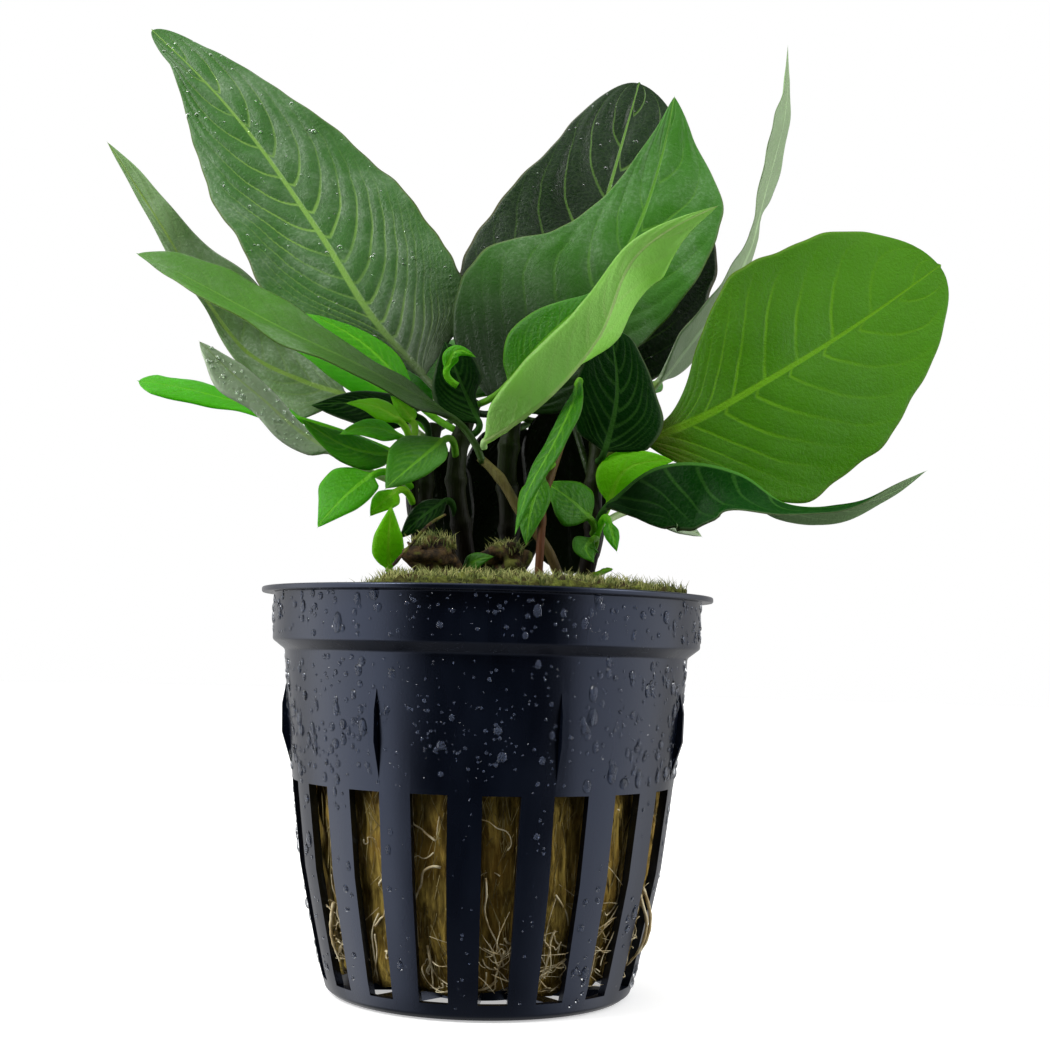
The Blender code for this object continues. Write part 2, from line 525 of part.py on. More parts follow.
def net_pot():
    """Thin tapered pot with a collar, a flange, slots, small fins and an open floor."""
    outside = [*BODY, (COLLAR_RADIUS, COLLAR_BOTTOM), (COLLAR_RADIUS, RIM_HEIGHT - RIM_THICKNESS),
               (RIM_RADIUS, RIM_HEIGHT - RIM_THICKNESS), (RIM_RADIUS, RIM_HEIGHT)]
    inside = [(COLLAR_RADIUS - WALL, RIM_HEIGHT), (COLLAR_RADIUS - WALL, COLLAR_BOTTOM + 0.4)]
    inside += [(radius - WALL, height) for radius, height in reversed(BODY) if height > FLOOR_THICKNESS]
    inside.append((body_radius(FLOOR_THICKNESS) - WALL, FLOOR_THICKNESS))
    pot = turned("net_pot", outside + inside, POT_STEPS, "pot")
    cut(pot, fin_shapes(), "UNION")
    cut(pot, slot_cutter())
    cut(pot, floor_cutter())
    return pot


def planting_holes():
    """Round holes that the stems' feet stand in, through the moss and into the wool."""
    shapes = []
    for radius, points in STEMS.values():
        x, y, _ = points[0]
        reach = (radius + GAP) / cos(pi / 8)
        outline = [(x + reach * cos(k * pi / 4), y + reach * sin(k * pi / 4)) for k in range(8)]
        shapes.append(prism(outline, WOOL_TOP - PLANTING_DEPTH, MOSS_TOP + 5))
    return new_object("planting_holes", *joined(shapes), None)


def wool_lumps(x, y, z):
    turn = atan2(y, x)
    shrink = 1 - 0.006 * (1 + sin(5 * turn + z * 0.3)) - 0.004 * (1 + sin(11 * turn - z * 0.5))
    return x * shrink, y * shrink, z


def moss_height(x, y):
    """Height of the moss: highest and level in the middle, lower at the rim and on the left."""
    out = sqrt(x * x + y * y) / MOSS_RADIUS
    left = smooth(min(max((-x - 11) / 6, 0.0), 1.0))
    bumps = 0.25 * sin(0.9 * x) * cos(0.8 * y) * min(max(4 * out - 0.8, 0.0), 1.0)
    return MOSS_TOP + 0.7 - 1.3 * out**2 - 1.9 * left + bumps


def moss_lumps(x, y, z):
    return (x, y, moss_height(x, y)) if z > WOOL_TOP + 1 else (x, y, z)


def growing_medium(holes):
    heights = (WOOL_BOTTOM, 9.6, 15.7, 24.9, 35.6, WOOL_TOP)
    side = [(body_radius(z) - WALL - WOOL_CLEARANCE, z) for z in heights]
    wool = turned("rock_wool_plug", side, SOFT_STEPS, "wool", wool_lumps)
    profile = [(MOSS_RADIUS, WOOL_TOP + GAP)] + [(radius, RIM_HEIGHT) for radius in (MOSS_RADIUS, 20.0, 13.0, 5.0)]
    moss = turned("moss_mat", profile, SOFT_STEPS, "moss", moss_lumps)
    cut(wool, holes)
    cut(moss, holes)


def stem(name):
    radius, points = STEMS[name]
    foot = (points[0][0], points[0][1], WOOL_TOP - PLANTING_DEPTH + GAP)
    centres = [foot] + [along_curve(points, k / 6)[0] for k in range(7)]
    radii = [radius] * 5 + [radius * 0.95, radius * 0.9, radius * 0.85]
    tube(name, centres, radii, 8, "stem")


def leaf_mesh(leaf):
    """Thin closed shell: rings along the stalk and the blade, drawn in to a point at the tip."""
    large = np.linalg.norm(leaf.midrib[-1] - leaf.midrib[0]) > LARGE_LEAF
    shares, columns = (LARGE_RINGS, LARGE_COLUMNS) if large else (SMALL_RINGS, SMALL_COLUMNS)
    back = columns[-2:0:-1]
    rings = []
    right = blade_frame(leaf, 0)[2]
    for share in (0, 0.5):
        centre, forward = petiole_point(leaf, share)
        right = unit(right - forward * np.dot(right, forward))
        up = np.cross(right, forward)
        turns = [(across, sqrt(1 - across**2)) for across in columns]
        turns += [(across, -sqrt(1 - across**2)) for across in back]
        rings.append([centre + (right * side + up * rise) * PETIOLE_RADIUS for side, rise in turns])
    for share in shares:
        centre, forward, right, up = blade_frame(leaf, share)
        thickness = BLADE_HALF_THICKNESS + (PETIOLE_RADIUS - BLADE_HALF_THICKNESS) * max(0, 1 - share / BASE_SHARE)
        points = [blade_point(leaf, share, across) for across in columns]
        if share == 0:
            points = [centre + right * across * PETIOLE_RADIUS for across in columns]
        outs = []
        for across, point in zip(columns, points):
            if across == 0:
                out = up
            else:
                out = unit(np.cross((point - centre) * (1 if across > 0 else -1), forward))
            outs.append(out * thickness * sqrt(1 - across**2))
        top = [point + out for point, out in zip(points, outs)]
        low = [points[k] - outs[k] for k in range(len(back), 0, -1)]
        rings.append(top + low)
    vertices = [vertex for ring in rings for vertex in ring] + [leaf.midrib[-1]]
    faces = bridged(rings, end_cap=False)
    count = len(rings[0])
    last = (len(rings) - 1) * count
    faces += [(last + j, last + (j + 1) % count, len(vertices) - 1) for j in range(count)]
    return new_object(leaf.name, vertices, faces, leaf.tone)


def debris(name):
    """Rough dark lump of old stem bases on the moss."""
    centre, sizes = DEBRIS[name]
    shape = bmesh.new()
    bmesh.ops.create_icosphere(shape, subdivisions=1, radius=1.0)
    vertices = []
    for vertex in shape.verts:
        x, y, z = vertex.co
        bump = 1 - 0.12 * (1 + sin(7 * x + 3 * y) * cos(5 * z + 2))
        vertices.append([centre[i] + sizes[i] * value * bump for i, value in enumerate((x, y, z))])
    faces = [tuple(vertex.index for vertex in face.verts) for face in shape.faces]
    shape.free()
    new_object(name, vertices, faces, "debris")


def root(name):
    radius, points = ROOTS[name]
    line = [(*around(out, angle), height) for out, angle, height in points]
    centres = [along_curve(line, k / 7)[0] for k in range(8)]
    tube(name, centres, [radius] * 7 + [radius * 0.6], 5, "root")


def twig():
    radius, points = TWIG
    centres = [along_curve(points, k / 6)[0] for k in range(7)]
    tube("twig", centres, [radius] * 6 + [radius * 0.7], 5, "debris")


def main():
    for piece in list(bpy.context.scene.objects):
        bpy.data.objects.remove(piece, do_unlink=True)
    net_pot()
    growing_medium(planting_holes())
    for name in STEMS:
        stem(name)
    for leaf in LEAVES:
        leaf_mesh(leaf)
    for name in DEBRIS:
        debris(name)
    twig()
    for name in ROOTS:
        root(name)


main()
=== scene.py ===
"""Looks of the potted hygrophila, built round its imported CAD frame.

Sizes are in millimetres and turned into metres when a mesh is made. Z is up, -Y is the front and
the origin is the middle of the pot's underside. The plant's leading sizes repeat those of the CAD.
"""

from math import cos, pi, radians, sin

import bpy
import bmesh
import numpy as np
from mathutils import Matrix


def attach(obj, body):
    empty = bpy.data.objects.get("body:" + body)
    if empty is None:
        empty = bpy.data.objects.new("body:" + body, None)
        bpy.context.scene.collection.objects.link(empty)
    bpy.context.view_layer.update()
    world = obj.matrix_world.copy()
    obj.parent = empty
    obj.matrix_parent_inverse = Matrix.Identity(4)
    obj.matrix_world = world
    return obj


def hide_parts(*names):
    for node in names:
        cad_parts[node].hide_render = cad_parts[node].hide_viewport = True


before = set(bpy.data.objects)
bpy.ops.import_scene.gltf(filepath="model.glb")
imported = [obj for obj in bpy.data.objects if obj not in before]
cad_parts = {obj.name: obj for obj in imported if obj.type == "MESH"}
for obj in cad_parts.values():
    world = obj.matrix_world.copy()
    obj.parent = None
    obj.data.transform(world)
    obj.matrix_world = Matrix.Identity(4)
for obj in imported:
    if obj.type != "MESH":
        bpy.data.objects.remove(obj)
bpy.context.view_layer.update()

MM = 0.001
SEED = 11

# Pot
RIM_RADIUS = 28.5
RIM_HEIGHT = 49.4
RIM_THICKNESS = 0.7
COLLAR_RADIUS = 26.95
COLLAR_BOTTOM = 42.9
WALL = 1.0
FLOOR_THICKNESS = 1.1
POT_STEPS = 144
# radius and height at each corner of the body's outside, from the foot up
BODY = ((18.3, 0.0), (19.0, 0.5), (19.9, 3.5), (21.3, 9.6), (22.6, 15.7), (23.8, 24.9), (24.9, 35.6),
        (25.4, 41.7))
SLOTS = 18
FIRST_SLOT_ANGLE = 5.1
SLOT_BOTTOM, SLOT_TOP = 1.9, 25.8
SLOT_HALF_BOTTOM, SLOT_HALF_TOP = 1.7, 2.2
FLOOR_OPENINGS = 9
FLOOR_DISC_RADIUS = 7.5
FLOOR_RING_RADIUS = 16.2
FLOOR_SPOKE = 2.2
FINS = 7
FIRST_FIN_ANGLE = -30.5
FIN_THICKNESS = 0.8
FIN_SIDE = ((24.4, 38.0), (25.1, 37.4), (25.5, 35.0), (25.4, 31.5), (23.9, 26.8), (23.3, 27.5))
CORNER_RADIUS, CORNER_STEPS = 0.25, 4
SHARP_ANGLE = 35

# Rock wool and moss
WOOL_BOTTOM, WOOL_TOP = 3.2, 46.6
WOOL_CLEARANCE = 0.9
WOOL_INSET, WOOL_BULGE = 0.35, 0.45
RAGGED_EDGE = 0.9
WOOL_STEPS, WOOL_ROWS = 300, 130
WOOL_FIBRES = 700
MOSS_RADIUS = 25.2
MOSS_TOP = 50.4
MOSS_CROWN, MOSS_FALL, LEFT_DIP = 0.7, 1.3, 1.9
MOSS_STEPS, MOSS_ROWS = 200, 70
MOSS_LUMPS = 40
MOSS_BLADES, DEBRIS_BLADES = 6000, 170
SOIL_CRUMBS = 90
GAP = 0.3

# Stems: radius, then the points that each one passes through above the moss
PLANTING_DEPTH = 3.7
FIRST_JOINT, LAST_JOINT, JOINT_SPACE = 58, 76, 5.5
STEMS = {
    "stem_front": (0.62, ((8.6, -7.2, 51.5), (7.5, -7.8, 54), (3.5, -7.5, 59.5), (1, -7, 63.5),
                          (-1.5, -6, 66))),
    "stem_red": (0.5, ((6, -10.5, 51), (6.2, -10.5, 56), (6.4, -9.5, 60.5), (8, -7, 66), (10.5, -5, 74))),
    "stem_middle": (1.2, ((-2.5, -1, 51.5), (-3.5, -2, 57), (-4.5, -2, 63.5), (-4, -1, 69), (-2.5, 0, 74))),
    "stem_back": (1.3, ((2.5, 5, 53.5), (2.5, 5, 59), (2, 5.5, 66), (2.5, 6.3, 72), (2.8, 6.4, 77))),
    "stem_left": (1.1, ((-7.5, 3, 51.5), (-8.5, 3, 59), (-8.5, 4, 66), (-7.5, 5, 71.5))),
    "stem_right": (1.1, ((12, -3, 51.5), (13, -3, 56.5), (13, -2, 62), (13.5, 0, 68), (14, 2, 72))),
    "stem_young": (0.55, ((-9, -1, 51.5), (-9.5, -1.5, 57), (-9.8, -2, 63), (-10.2, -2.6, 68.8))),
}

# Leaves: the blade's half width is given at these shares of its length, base to tip
STATIONS = np.array((0.0, 0.1, 0.3, 0.5, 0.7, 0.9, 1.0))
EGG_SHAPE = (0.62, 1.0, 0.92, 0.62, 0.24)
FRONT = (0.1, -0.9, 0.4)
PETIOLE_RADIUS = 0.45
PETIOLE_BEND = 0.45
PETIOLE_DEPTH = 0.6
STALK_STEPS = 12
BLADE_HALF_THICKNESS = 0.16
MARGIN_ROUNDING = 0.35
# how far along the blade the stalk widens into it, and the midrib's width on the smallest and largest blade
BLADE_START = 0.12
RIB_WIDTHS = ((2, 14), (0.28, 0.55))
GRID_STEP = 0.5
ROW_LIMITS, COLUMN_LIMITS = (26, 140), (5, 30)
# the last rows before the tip, in rows from it, and how far the tip stands beyond the midrib's end
TIP_ROWS = np.array((0.6, 0.3, 0.1, 0.02))
TIP_REACH = 0.3
# the space between side veins grows by this share of the way along the midrib
VEIN_GROWTH = 0.09
LEAST_VEIN_SPACE = 0.9
# waves that make a margin uneven: length, phase and size, which is this share of the blade's half width
MARGIN_WAVES = ((1.9, 0.0, 1.0), (0.83, 1.0, 0.6), (4.3, 2.0, 1.3))
MARGIN_UNEVENNESS = 0.010


def half_widths(size):
    """Half widths at the inner stations: a tuple as it is, or an egg-shaped blade's from one number."""
    return size if isinstance(size, tuple) else tuple(size * share for share in EGG_SHAPE)


class Leaf:
    """One leaf: its finish, where it grows from, the line of its midrib and its half widths left and right.

    origin is a stem and a height on it, or a free point. face is the direction of the upper face, one or
    several from base to tip. fold turns up the left and the right half by these degrees, also one or several,
    and curl bends both up on the way to the margin. relief is the height of the quilting between the veins,
    wave that of the waves along the margins, and arc says how strongly the side veins turn towards the tip.
    blunt goes from 0, a pointed tip, to 1, a round one. veins is the leaf's length divided by the space
    between the first two of its side veins.
    """

    def __init__(self, name, tone, origin, midrib, left, right, face=FRONT, fold=(0, 0), curl=0,
                 relief=0.12, wave=0.35, arc=1.3, blunt=0.2, veins=17):
        self.name = name
        self.tone = tone
        self.origin = origin
        self.midrib = np.array(midrib, float)
        self.left = half_widths(left)
        self.right = half_widths(right)
        self.face = np.array(face if isinstance(face[0], tuple) else (face, face), float)
        self.fold = fold
        self.curl = curl
        self.relief = relief
        self.wave = wave
        self.arc = arc
        self.blunt = blunt
        self.veins = veins
        self.length = np.linalg.norm(np.diff(self.midrib, axis=0), axis=1).sum()


LEAVES = [
    Leaf("leaf_tall_left", "sheen", ("stem_middle", 72),
         ((-9.2, 2.8, 77.5), (-15.5, 6, 84.5), (-24.5, 11, 98.5), (-36, 17, 114.5), (-50.5, 22, 130)),
         left=(2.5, 11.3, 10.6, 7.6, 2.2), right=(13.2, 14, 12, 8.1, 4.1), face=(0.1, -1, 0.35), curl=10,
         relief=0.32, wave=0.5, arc=1.45, blunt=1, veins=30),
    Leaf("leaf_far_left", "silver", ("stem_left", 69.5),
         ((-20, 12, 76), (-26, 12.5, 78), (-33.5, 13, 81.5), (-39.5, 13.5, 88.5), (-46.5, 13.5, 99.5),
          (-54, 13, 110.5)),
         left=(7, 2.2, 0.9, 1.2, 0.6), right=(5, 8.5, 7.8, 3.6, 1.7), face=(0.3, -0.9, 0.5)),
    Leaf("leaf_lance_left", "grey", ("stem_front", 65.3),
         ((-5.5, -7, 71), (-11.5, -7.5, 74), (-17.5, -8, 77), (-25, -8, 80.5), (-36, -8, 86), (-45, -6, 90.5)),
         left=(4, 5, 5.5, 5, 1.2), right=(2, 3.8, 5.8, 6.6, 4.2), face=(-0.3, -0.45, 1), fold=(8, 8),
         blunt=0.7),
    Leaf("leaf_grey_left", "frost", ("stem_left", 62.5),
         ((-20.5, -2, 66.8), (-24.7, -2.5, 69.3), (-29.2, -3, 73), (-33, -3.5, 76), (-37.2, -4, 80)),
         left=(2.2, 2.8, 2.3, 3, 1.4), right=(0.9, 1.4, 2, 2.1, 1), face=(0.1, -1, 0.6)),
    Leaf("leaf_tongue_left", "bright", ("stem_left", 66),
         ((-25.3, 5, 71.7), (-34.5, 4.5, 73.8), (-39, 4, 74.8), (-46.1, 3, 75.9)),
         left=(2, 2.4, 2.8, 3.2, 3.4), right=(2, 2.4, 2.8, 3.2, 3), face=(0.1, -0.7, 1), blunt=0.8),
    Leaf("leaf_bright_left_low", "bright", ("stem_left", 70.5),
         ((-13, 3, 74.5), (-19.5, 4, 78.5), (-27, 5, 81.5)),
         left=2.8, right=1.5, face=(0.2, -0.8, 0.5)),
    Leaf("leaf_bright_left_high", "bright", ("stem_middle", 70),
         ((-10.5, 0.5, 74.5), (-17, 0, 81), (-24.5, 1, 85)),
         left=3, right=2.5, face=(0.2, -0.8, 0.5)),
    Leaf("leaf_dark_left", "deep", ("stem_left", 67.5), ((-9.8, 1.4, 72), (-15, 1.2, 73.2), (-23.4, 0.6, 73)),
         left=4, right=2.6, face=(0.1, -0.8, 0.5)),
    Leaf("young_leaf_a", "bright", ("stem_young", 67.4),
         ((-11.8, -4.6, 68.6), (-15.1, -5.5, 69.4), (-19, -6, 68.5)),
         left=2.2, right=2, face=(0.2, -0.7, 0.7)),
    Leaf("young_leaf_b", "yellow", ("stem_young", 68.2),
         ((-11.9, -2.3, 70.9), (-14.9, -2.4, 72.5), (-18.6, -2.8, 72.9)),
         left=2, right=2, face=(0.2, -0.7, 0.7)),
    Leaf("young_leaf_c", "yellow", ("stem_young", 68.6),
         ((-10.3, -0.5, 71.1), (-11.5, -0.1, 72.6), (-13.2, -0.2, 74.4)),
         left=1.6, right=1.6, face=(0.2, -0.7, 0.7)),
    Leaf("leaf_olive_left", "lush", ("stem_young", 64.5),
         ((-12.6, -2.8, 66.3), (-17.7, -4, 66.9), (-23.8, -6, 70.2)),
         left=3, right=2.6, face=(0.1, -0.8, 0.6)),
    Leaf("leaf_low_front", "lush", ("stem_middle", 66.5),
         ((-6.1, -6.4, 68), (-9.2, -8.5, 65), (-12.8, -10.5, 61.4)),
         left=2.8, right=4.6, face=(-0.2, -0.9, 0.5)),
    Leaf("leaf_pointed_low_left", "bright", ("stem_young", 62.5),
         ((-14.8, -6, 63.4), (-17.6, -7.5, 60.8), (-21, -9, 56.6)),
         left=(2.3, 2.6, 2.4, 1.7, 0.7), right=(3, 4.4, 4.2, 2.6, 0.9), face=(-0.2, -0.9, 0.5)),
    Leaf("leaf_tiny_low_left", "yellow", ("stem_young", 60.5),
         ((-11.8, -5, 61.6), (-13.3, -6, 60.1), (-14.8, -7, 58.3)),
         left=1.7, right=1.9, face=(-0.2, -0.9, 0.5)),
    Leaf("sprout_leaf_left", "yellow", (-12.2, -4.8, 51),
         ((-12.4, -5.4, 52), (-12.5, -7, 55), (-12.2, -8, 59.5)),
         left=2, right=2, face=(0.1, -1, 0.1)),
    Leaf("leaf_dark_low_left", "deep", ("stem_middle", 57.8),
         ((-5.8, -3.6, 60.6), (-8.4, -4.3, 58.6), (-11.2, -5, 55.8)),
         left=1.8, right=2.2, face=(-0.2, -0.9, 0.5)),
    Leaf("leaf_dark_back", "dark", ("stem_back", 73.4),
         ((6.5, 8, 73.5), (10.5, 12, 88), (15, 18, 105.5), (20, 24, 125.2)),
         left=(13, 16.9, 14.8, 10.4, 5.8), right=(8.8, 17, 17.6, 13.6, 7.6), face=(0.1, -1, 0.3), relief=0.32,
         wave=0.5, arc=0.9, blunt=0.9, veins=10),
    Leaf("leaf_broad_right", "broad", ("stem_middle", 72.6),
         ((0.5, 1, 73.2), (8.5, 4, 84), (17.5, 8, 96.5), (22, 11, 109.5), (24, 13, 119.5)),
         left=(11.5, 16, 10, 5.4, 1.7), right=(7, 9, 10, 10.6, 3.6), face=(0, -1, 0.3), relief=0.22, wave=0.5,
         arc=0.9, blunt=0.15, veins=12),
    Leaf("leaf_pale_front", "pale", (-1, -6.6, 67.2),
         ((-0.8, -7.4, 68), (5.5, -11, 72), (12.5, -14, 80), (16.5, -16, 89.5), (26, -18, 95.5)),
         left=(1.5, 3, 4.5, 5, 1.5), right=(4, 5.5, 4.5, 2, 0.7), face=(-0.4, 1, 0.2),
         fold=((70, 95, 40, 10, 0), 0)),
    Leaf("leaf_round_right", "olive", ("stem_right", 67),
         ((19.3, -1.5, 69.2), (26, -1.3, 72.2), (35, 0, 77.6), (46, 3, 85), (59, 5, 94.8)),
         left=(2.2, 9.6, 14.6, 13.8, 9.6), right=(6.4, 16.2, 15.4, 12, 6.8), face=(0.1, -1, 0.2), relief=0.12,
         wave=0.5, arc=0.5, blunt=1, veins=13),
    Leaf("leaf_slender_right", "silver", ("stem_right", 69.5),
         ((21.9, 5, 78.3), (29.1, 9, 88), (34.9, 14, 98.4), (37, 17, 105.9), (38.9, 20, 112.4),
          (40.8, 22, 119.5), (41.9, 25, 131.9)),
         left=(3.5, 2.8, 1.8, 4.2, 1.4), right=(3.5, 2.8, 1.8, 4.2, 1.4), face=(-0.8, 0.45, 0.3)),
    Leaf("leaf_twisted_low_right", "deep", ("stem_right", 56.8),
         ((14.4, -5.8, 60.2), (20.5, -8, 65.2), (25.3, -9.5, 65.6), (30.3, -10.5, 64.2), (35.6, -11.5, 60.6),
          (43.6, -12, 60.8), (53.3, -10, 65.4)),
         left=(2, 3, 3, 3, 1.8), right=(7.6, 8.6, 5.4, 3, 1.4),
         face=((0, -0.3, 1), (0, -0.3, 1), (0, 0.2, 1), (0, 0.5, 1)),
         fold=((-70, -70, -20, 0), (-62, -62, -20, 0)), veins=14),
    Leaf("leaf_yellow_right", "yellow", ("stem_right", 58.6),
         ((15, -3.4, 61.2), (16.5, -4.2, 64.8), (22.7, -4.8, 66.4)),
         left=3, right=2.6, blunt=0.5),
    Leaf("leaf_dark_centre", "deep", ("stem_right", 66.5),
         ((14.2, -3.8, 67.6), (15.6, -3.2, 74.4), (14.6, -2, 83.6)),
         left=(4.4, 5.6, 5.6, 4.4, 2.8), right=(5.2, 6.4, 5, 3.8, 2.6), face=(0.1, -0.9, 0.3), blunt=0.7,
         veins=9),
    Leaf("leaf_hanging_front", "lush", (10.4, -6.4, 75.4),
         ((10.6, -8, 75.6), (10, -10.5, 73), (7.5, -13, 67), (4.5, -14, 61), (3, -14, 56)),
         left=(1, 2, 2, 1.5, 0.7), right=(1, 2, 2, 1.5, 0.7), face=(-0.7, -0.6, 0.3)),
    Leaf("leaf_bright_centre", "lush", ("stem_middle", 73.5), ((2, -4, 76), (6.5, -5.2, 81.5), (13, -6, 87.5)),
         left=4.2, right=3, blunt=0.8),
    Leaf("leaf_tip_centre", "bright", (-4.6, -3.4, 75.4),
         ((-6, -3.8, 77.4), (-4.8, -4.2, 79.6), (-2.4, -4.2, 79)),
         left=1.2, right=1),
    Leaf("leaf_dark_inner", "deep", ("stem_middle", 69),
         ((-1.8, -2.4, 71), (-4, -2.2, 75.4), (-6.4, -1.2, 81.4)),
         left=4.2, right=(0.7, 1.3, 3.2, 3, 1.2)),
    Leaf("leaf_green_low_front", "lush", ("stem_red", 65.2),
         ((6.2, -9.5, 63.5), (5, -10.5, 59.5), (4.4, -11, 55)),
         left=2, right=2, face=(-0.1, -0.9, 0.4)),
    Leaf("leaf_veined_low", "lush", ("stem_right", 57),
         ((12.3, -6.4, 58.8), (10.3, -6.7, 60.6), (6.8, -6.6, 63)),
         left=3.4, right=3.4, face=(0.1, -0.9, 0.5)),
    Leaf("leaf_small_low_right_a", "bright", ("stem_right", 55.6),
         ((14.6, -7.8, 58.2), (15, -8.2, 56.6), (15.6, -8.8, 54.6)),
         left=1.1, right=1.1, face=(0.3, -0.9, 0.5)),
    Leaf("leaf_small_low_right_b", "lush", ("stem_right", 53.8),
         ((12.6, -7.2, 56), (11.8, -8, 55), (12.8, -8.8, 53.2)),
         left=1.8, right=1.8, face=(0.3, -0.9, 0.5)),
    Leaf("sprout_leaf_right", "olive", (12.5, -9, 51), ((13, -9, 51.6), (14, -10, 52), (15, -11, 52.3)),
         left=1, right=1, face=(0.1, -0.7, 0.8)),
    Leaf("leaf_pale_low_right", "frost", ("stem_right", 58), ((22, 0.5, 60), (24.5, 0, 58.6), (27, -1, 57.3)),
         left=2, right=2, face=(0.1, -0.7, 0.8)),
    Leaf("sprout_leaf_centre", "mid", (-3, -7, 51.3), ((-3, -7.5, 52), (-1.5, -9, 53), (0.5, -10, 53.5)),
         left=1.2, right=1.2, face=(0.1, -0.9, 0.3)),
    Leaf("leaf_back_left", "mid", ("stem_left", 68), ((-13, 14, 74), (-18, 24, 84), (-24, 36, 93)),
         left=9, right=9, face=(0.3, -0.5, 0.85), relief=0.2),
    Leaf("leaf_back_middle", "mid", ("stem_left", 71), ((-3, 15, 77), (-1, 27, 86), (-3, 39, 91)),
         left=9.5, right=9.5, face=(0, -0.6, 0.8), relief=0.2),
    Leaf("leaf_back_right", "mid", ("stem_back", 71.5), ((9, 13, 75), (17, 24, 80), (24, 36, 83)),
         left=8.5, right=8.5, face=(-0.2, -0.4, 0.9), relief=0.2),
    Leaf("leaf_back_low_left", "shadow", ("stem_left", 66), ((-7.4, 8.4, 69), (-6.8, 12.6, 62), (-5.6, 15, 53)),
         left=(3, 4.6, 4.6, 4.4, 3.4), right=(3, 4.4, 4.4, 4, 3), face=(0, 0.95, 0.35)),
    Leaf("leaf_back_low_middle", "shadow", ("stem_back", 63.5),
         ((2.6, 9.8, 73), (1.8, 14, 63), (0.4, 16.6, 51.8)),
         left=(4, 6, 6.4, 6, 4.4), right=(4, 7, 7, 6, 4.4), face=(0, 0.95, 0.35)),
    Leaf("leaf_back_low_right", "shadow", ("stem_right", 64),
         ((8.8, 4.8, 75), (10.2, 9.2, 65), (11, 12.6, 52.6)),
         left=(4, 6, 6, 5, 4), right=(4, 6, 6, 5, 4), face=(0.1, 0.95, 0.35)),
]

# Small pieces on the moss: centre and half sizes
DEBRIS = {
    "debris_left": ((-6.8, -9.0, 53.6), (3.2, 2.2, 2.4)),
    "debris_right": ((2.0, -5.4, 53.2), (2.8, 2.2, 2.2)),
}
TWIG = (0.22, ((-11.5, -12.5, 52.0), (-9.5, -12.0, 54.5), (-7.5, -11.2, 57.0), (-5.5, -9.5, 58.5)))

# Roots that hang out of the slots: radius, then (distance from the pot's axis, angle, height)
ROOTS = {
    "root_right_a": (0.22, ((21.7, 64, 17), (21.3, 64.3, 13.5), (22.2, 64.6, 10), (21.5, 64.2, 7),
                            (19.8, 64.6, 4.8))),
    "root_right_b": (0.22, ((21.3, 67.2, 14), (22.3, 67.4, 10.2), (21.7, 67, 7.4), (19.9, 67.3, 5.2))),
    "root_left": (0.22, ((21.1, -55, 12), (21.2, -55.6, 8.8), (19.9, -55.2, 5))),
}

# Tangles of fine roots and torn wool outside the plug: angle, height, number of strands, reach
TANGLES = ((-56.0, 7.5, 14, 1.8), (-14.0, 6.0, 7, 1.4), (5.0, 6.5, 11, 1.7), (24.0, 6.5, 14, 2.0),
           (44.0, 7.5, 14, 2.0), (64.0, 9.5, 34, 2.6), (150.0, 7.0, 12, 2.0), (-120.0, 7.0, 12, 1.8))

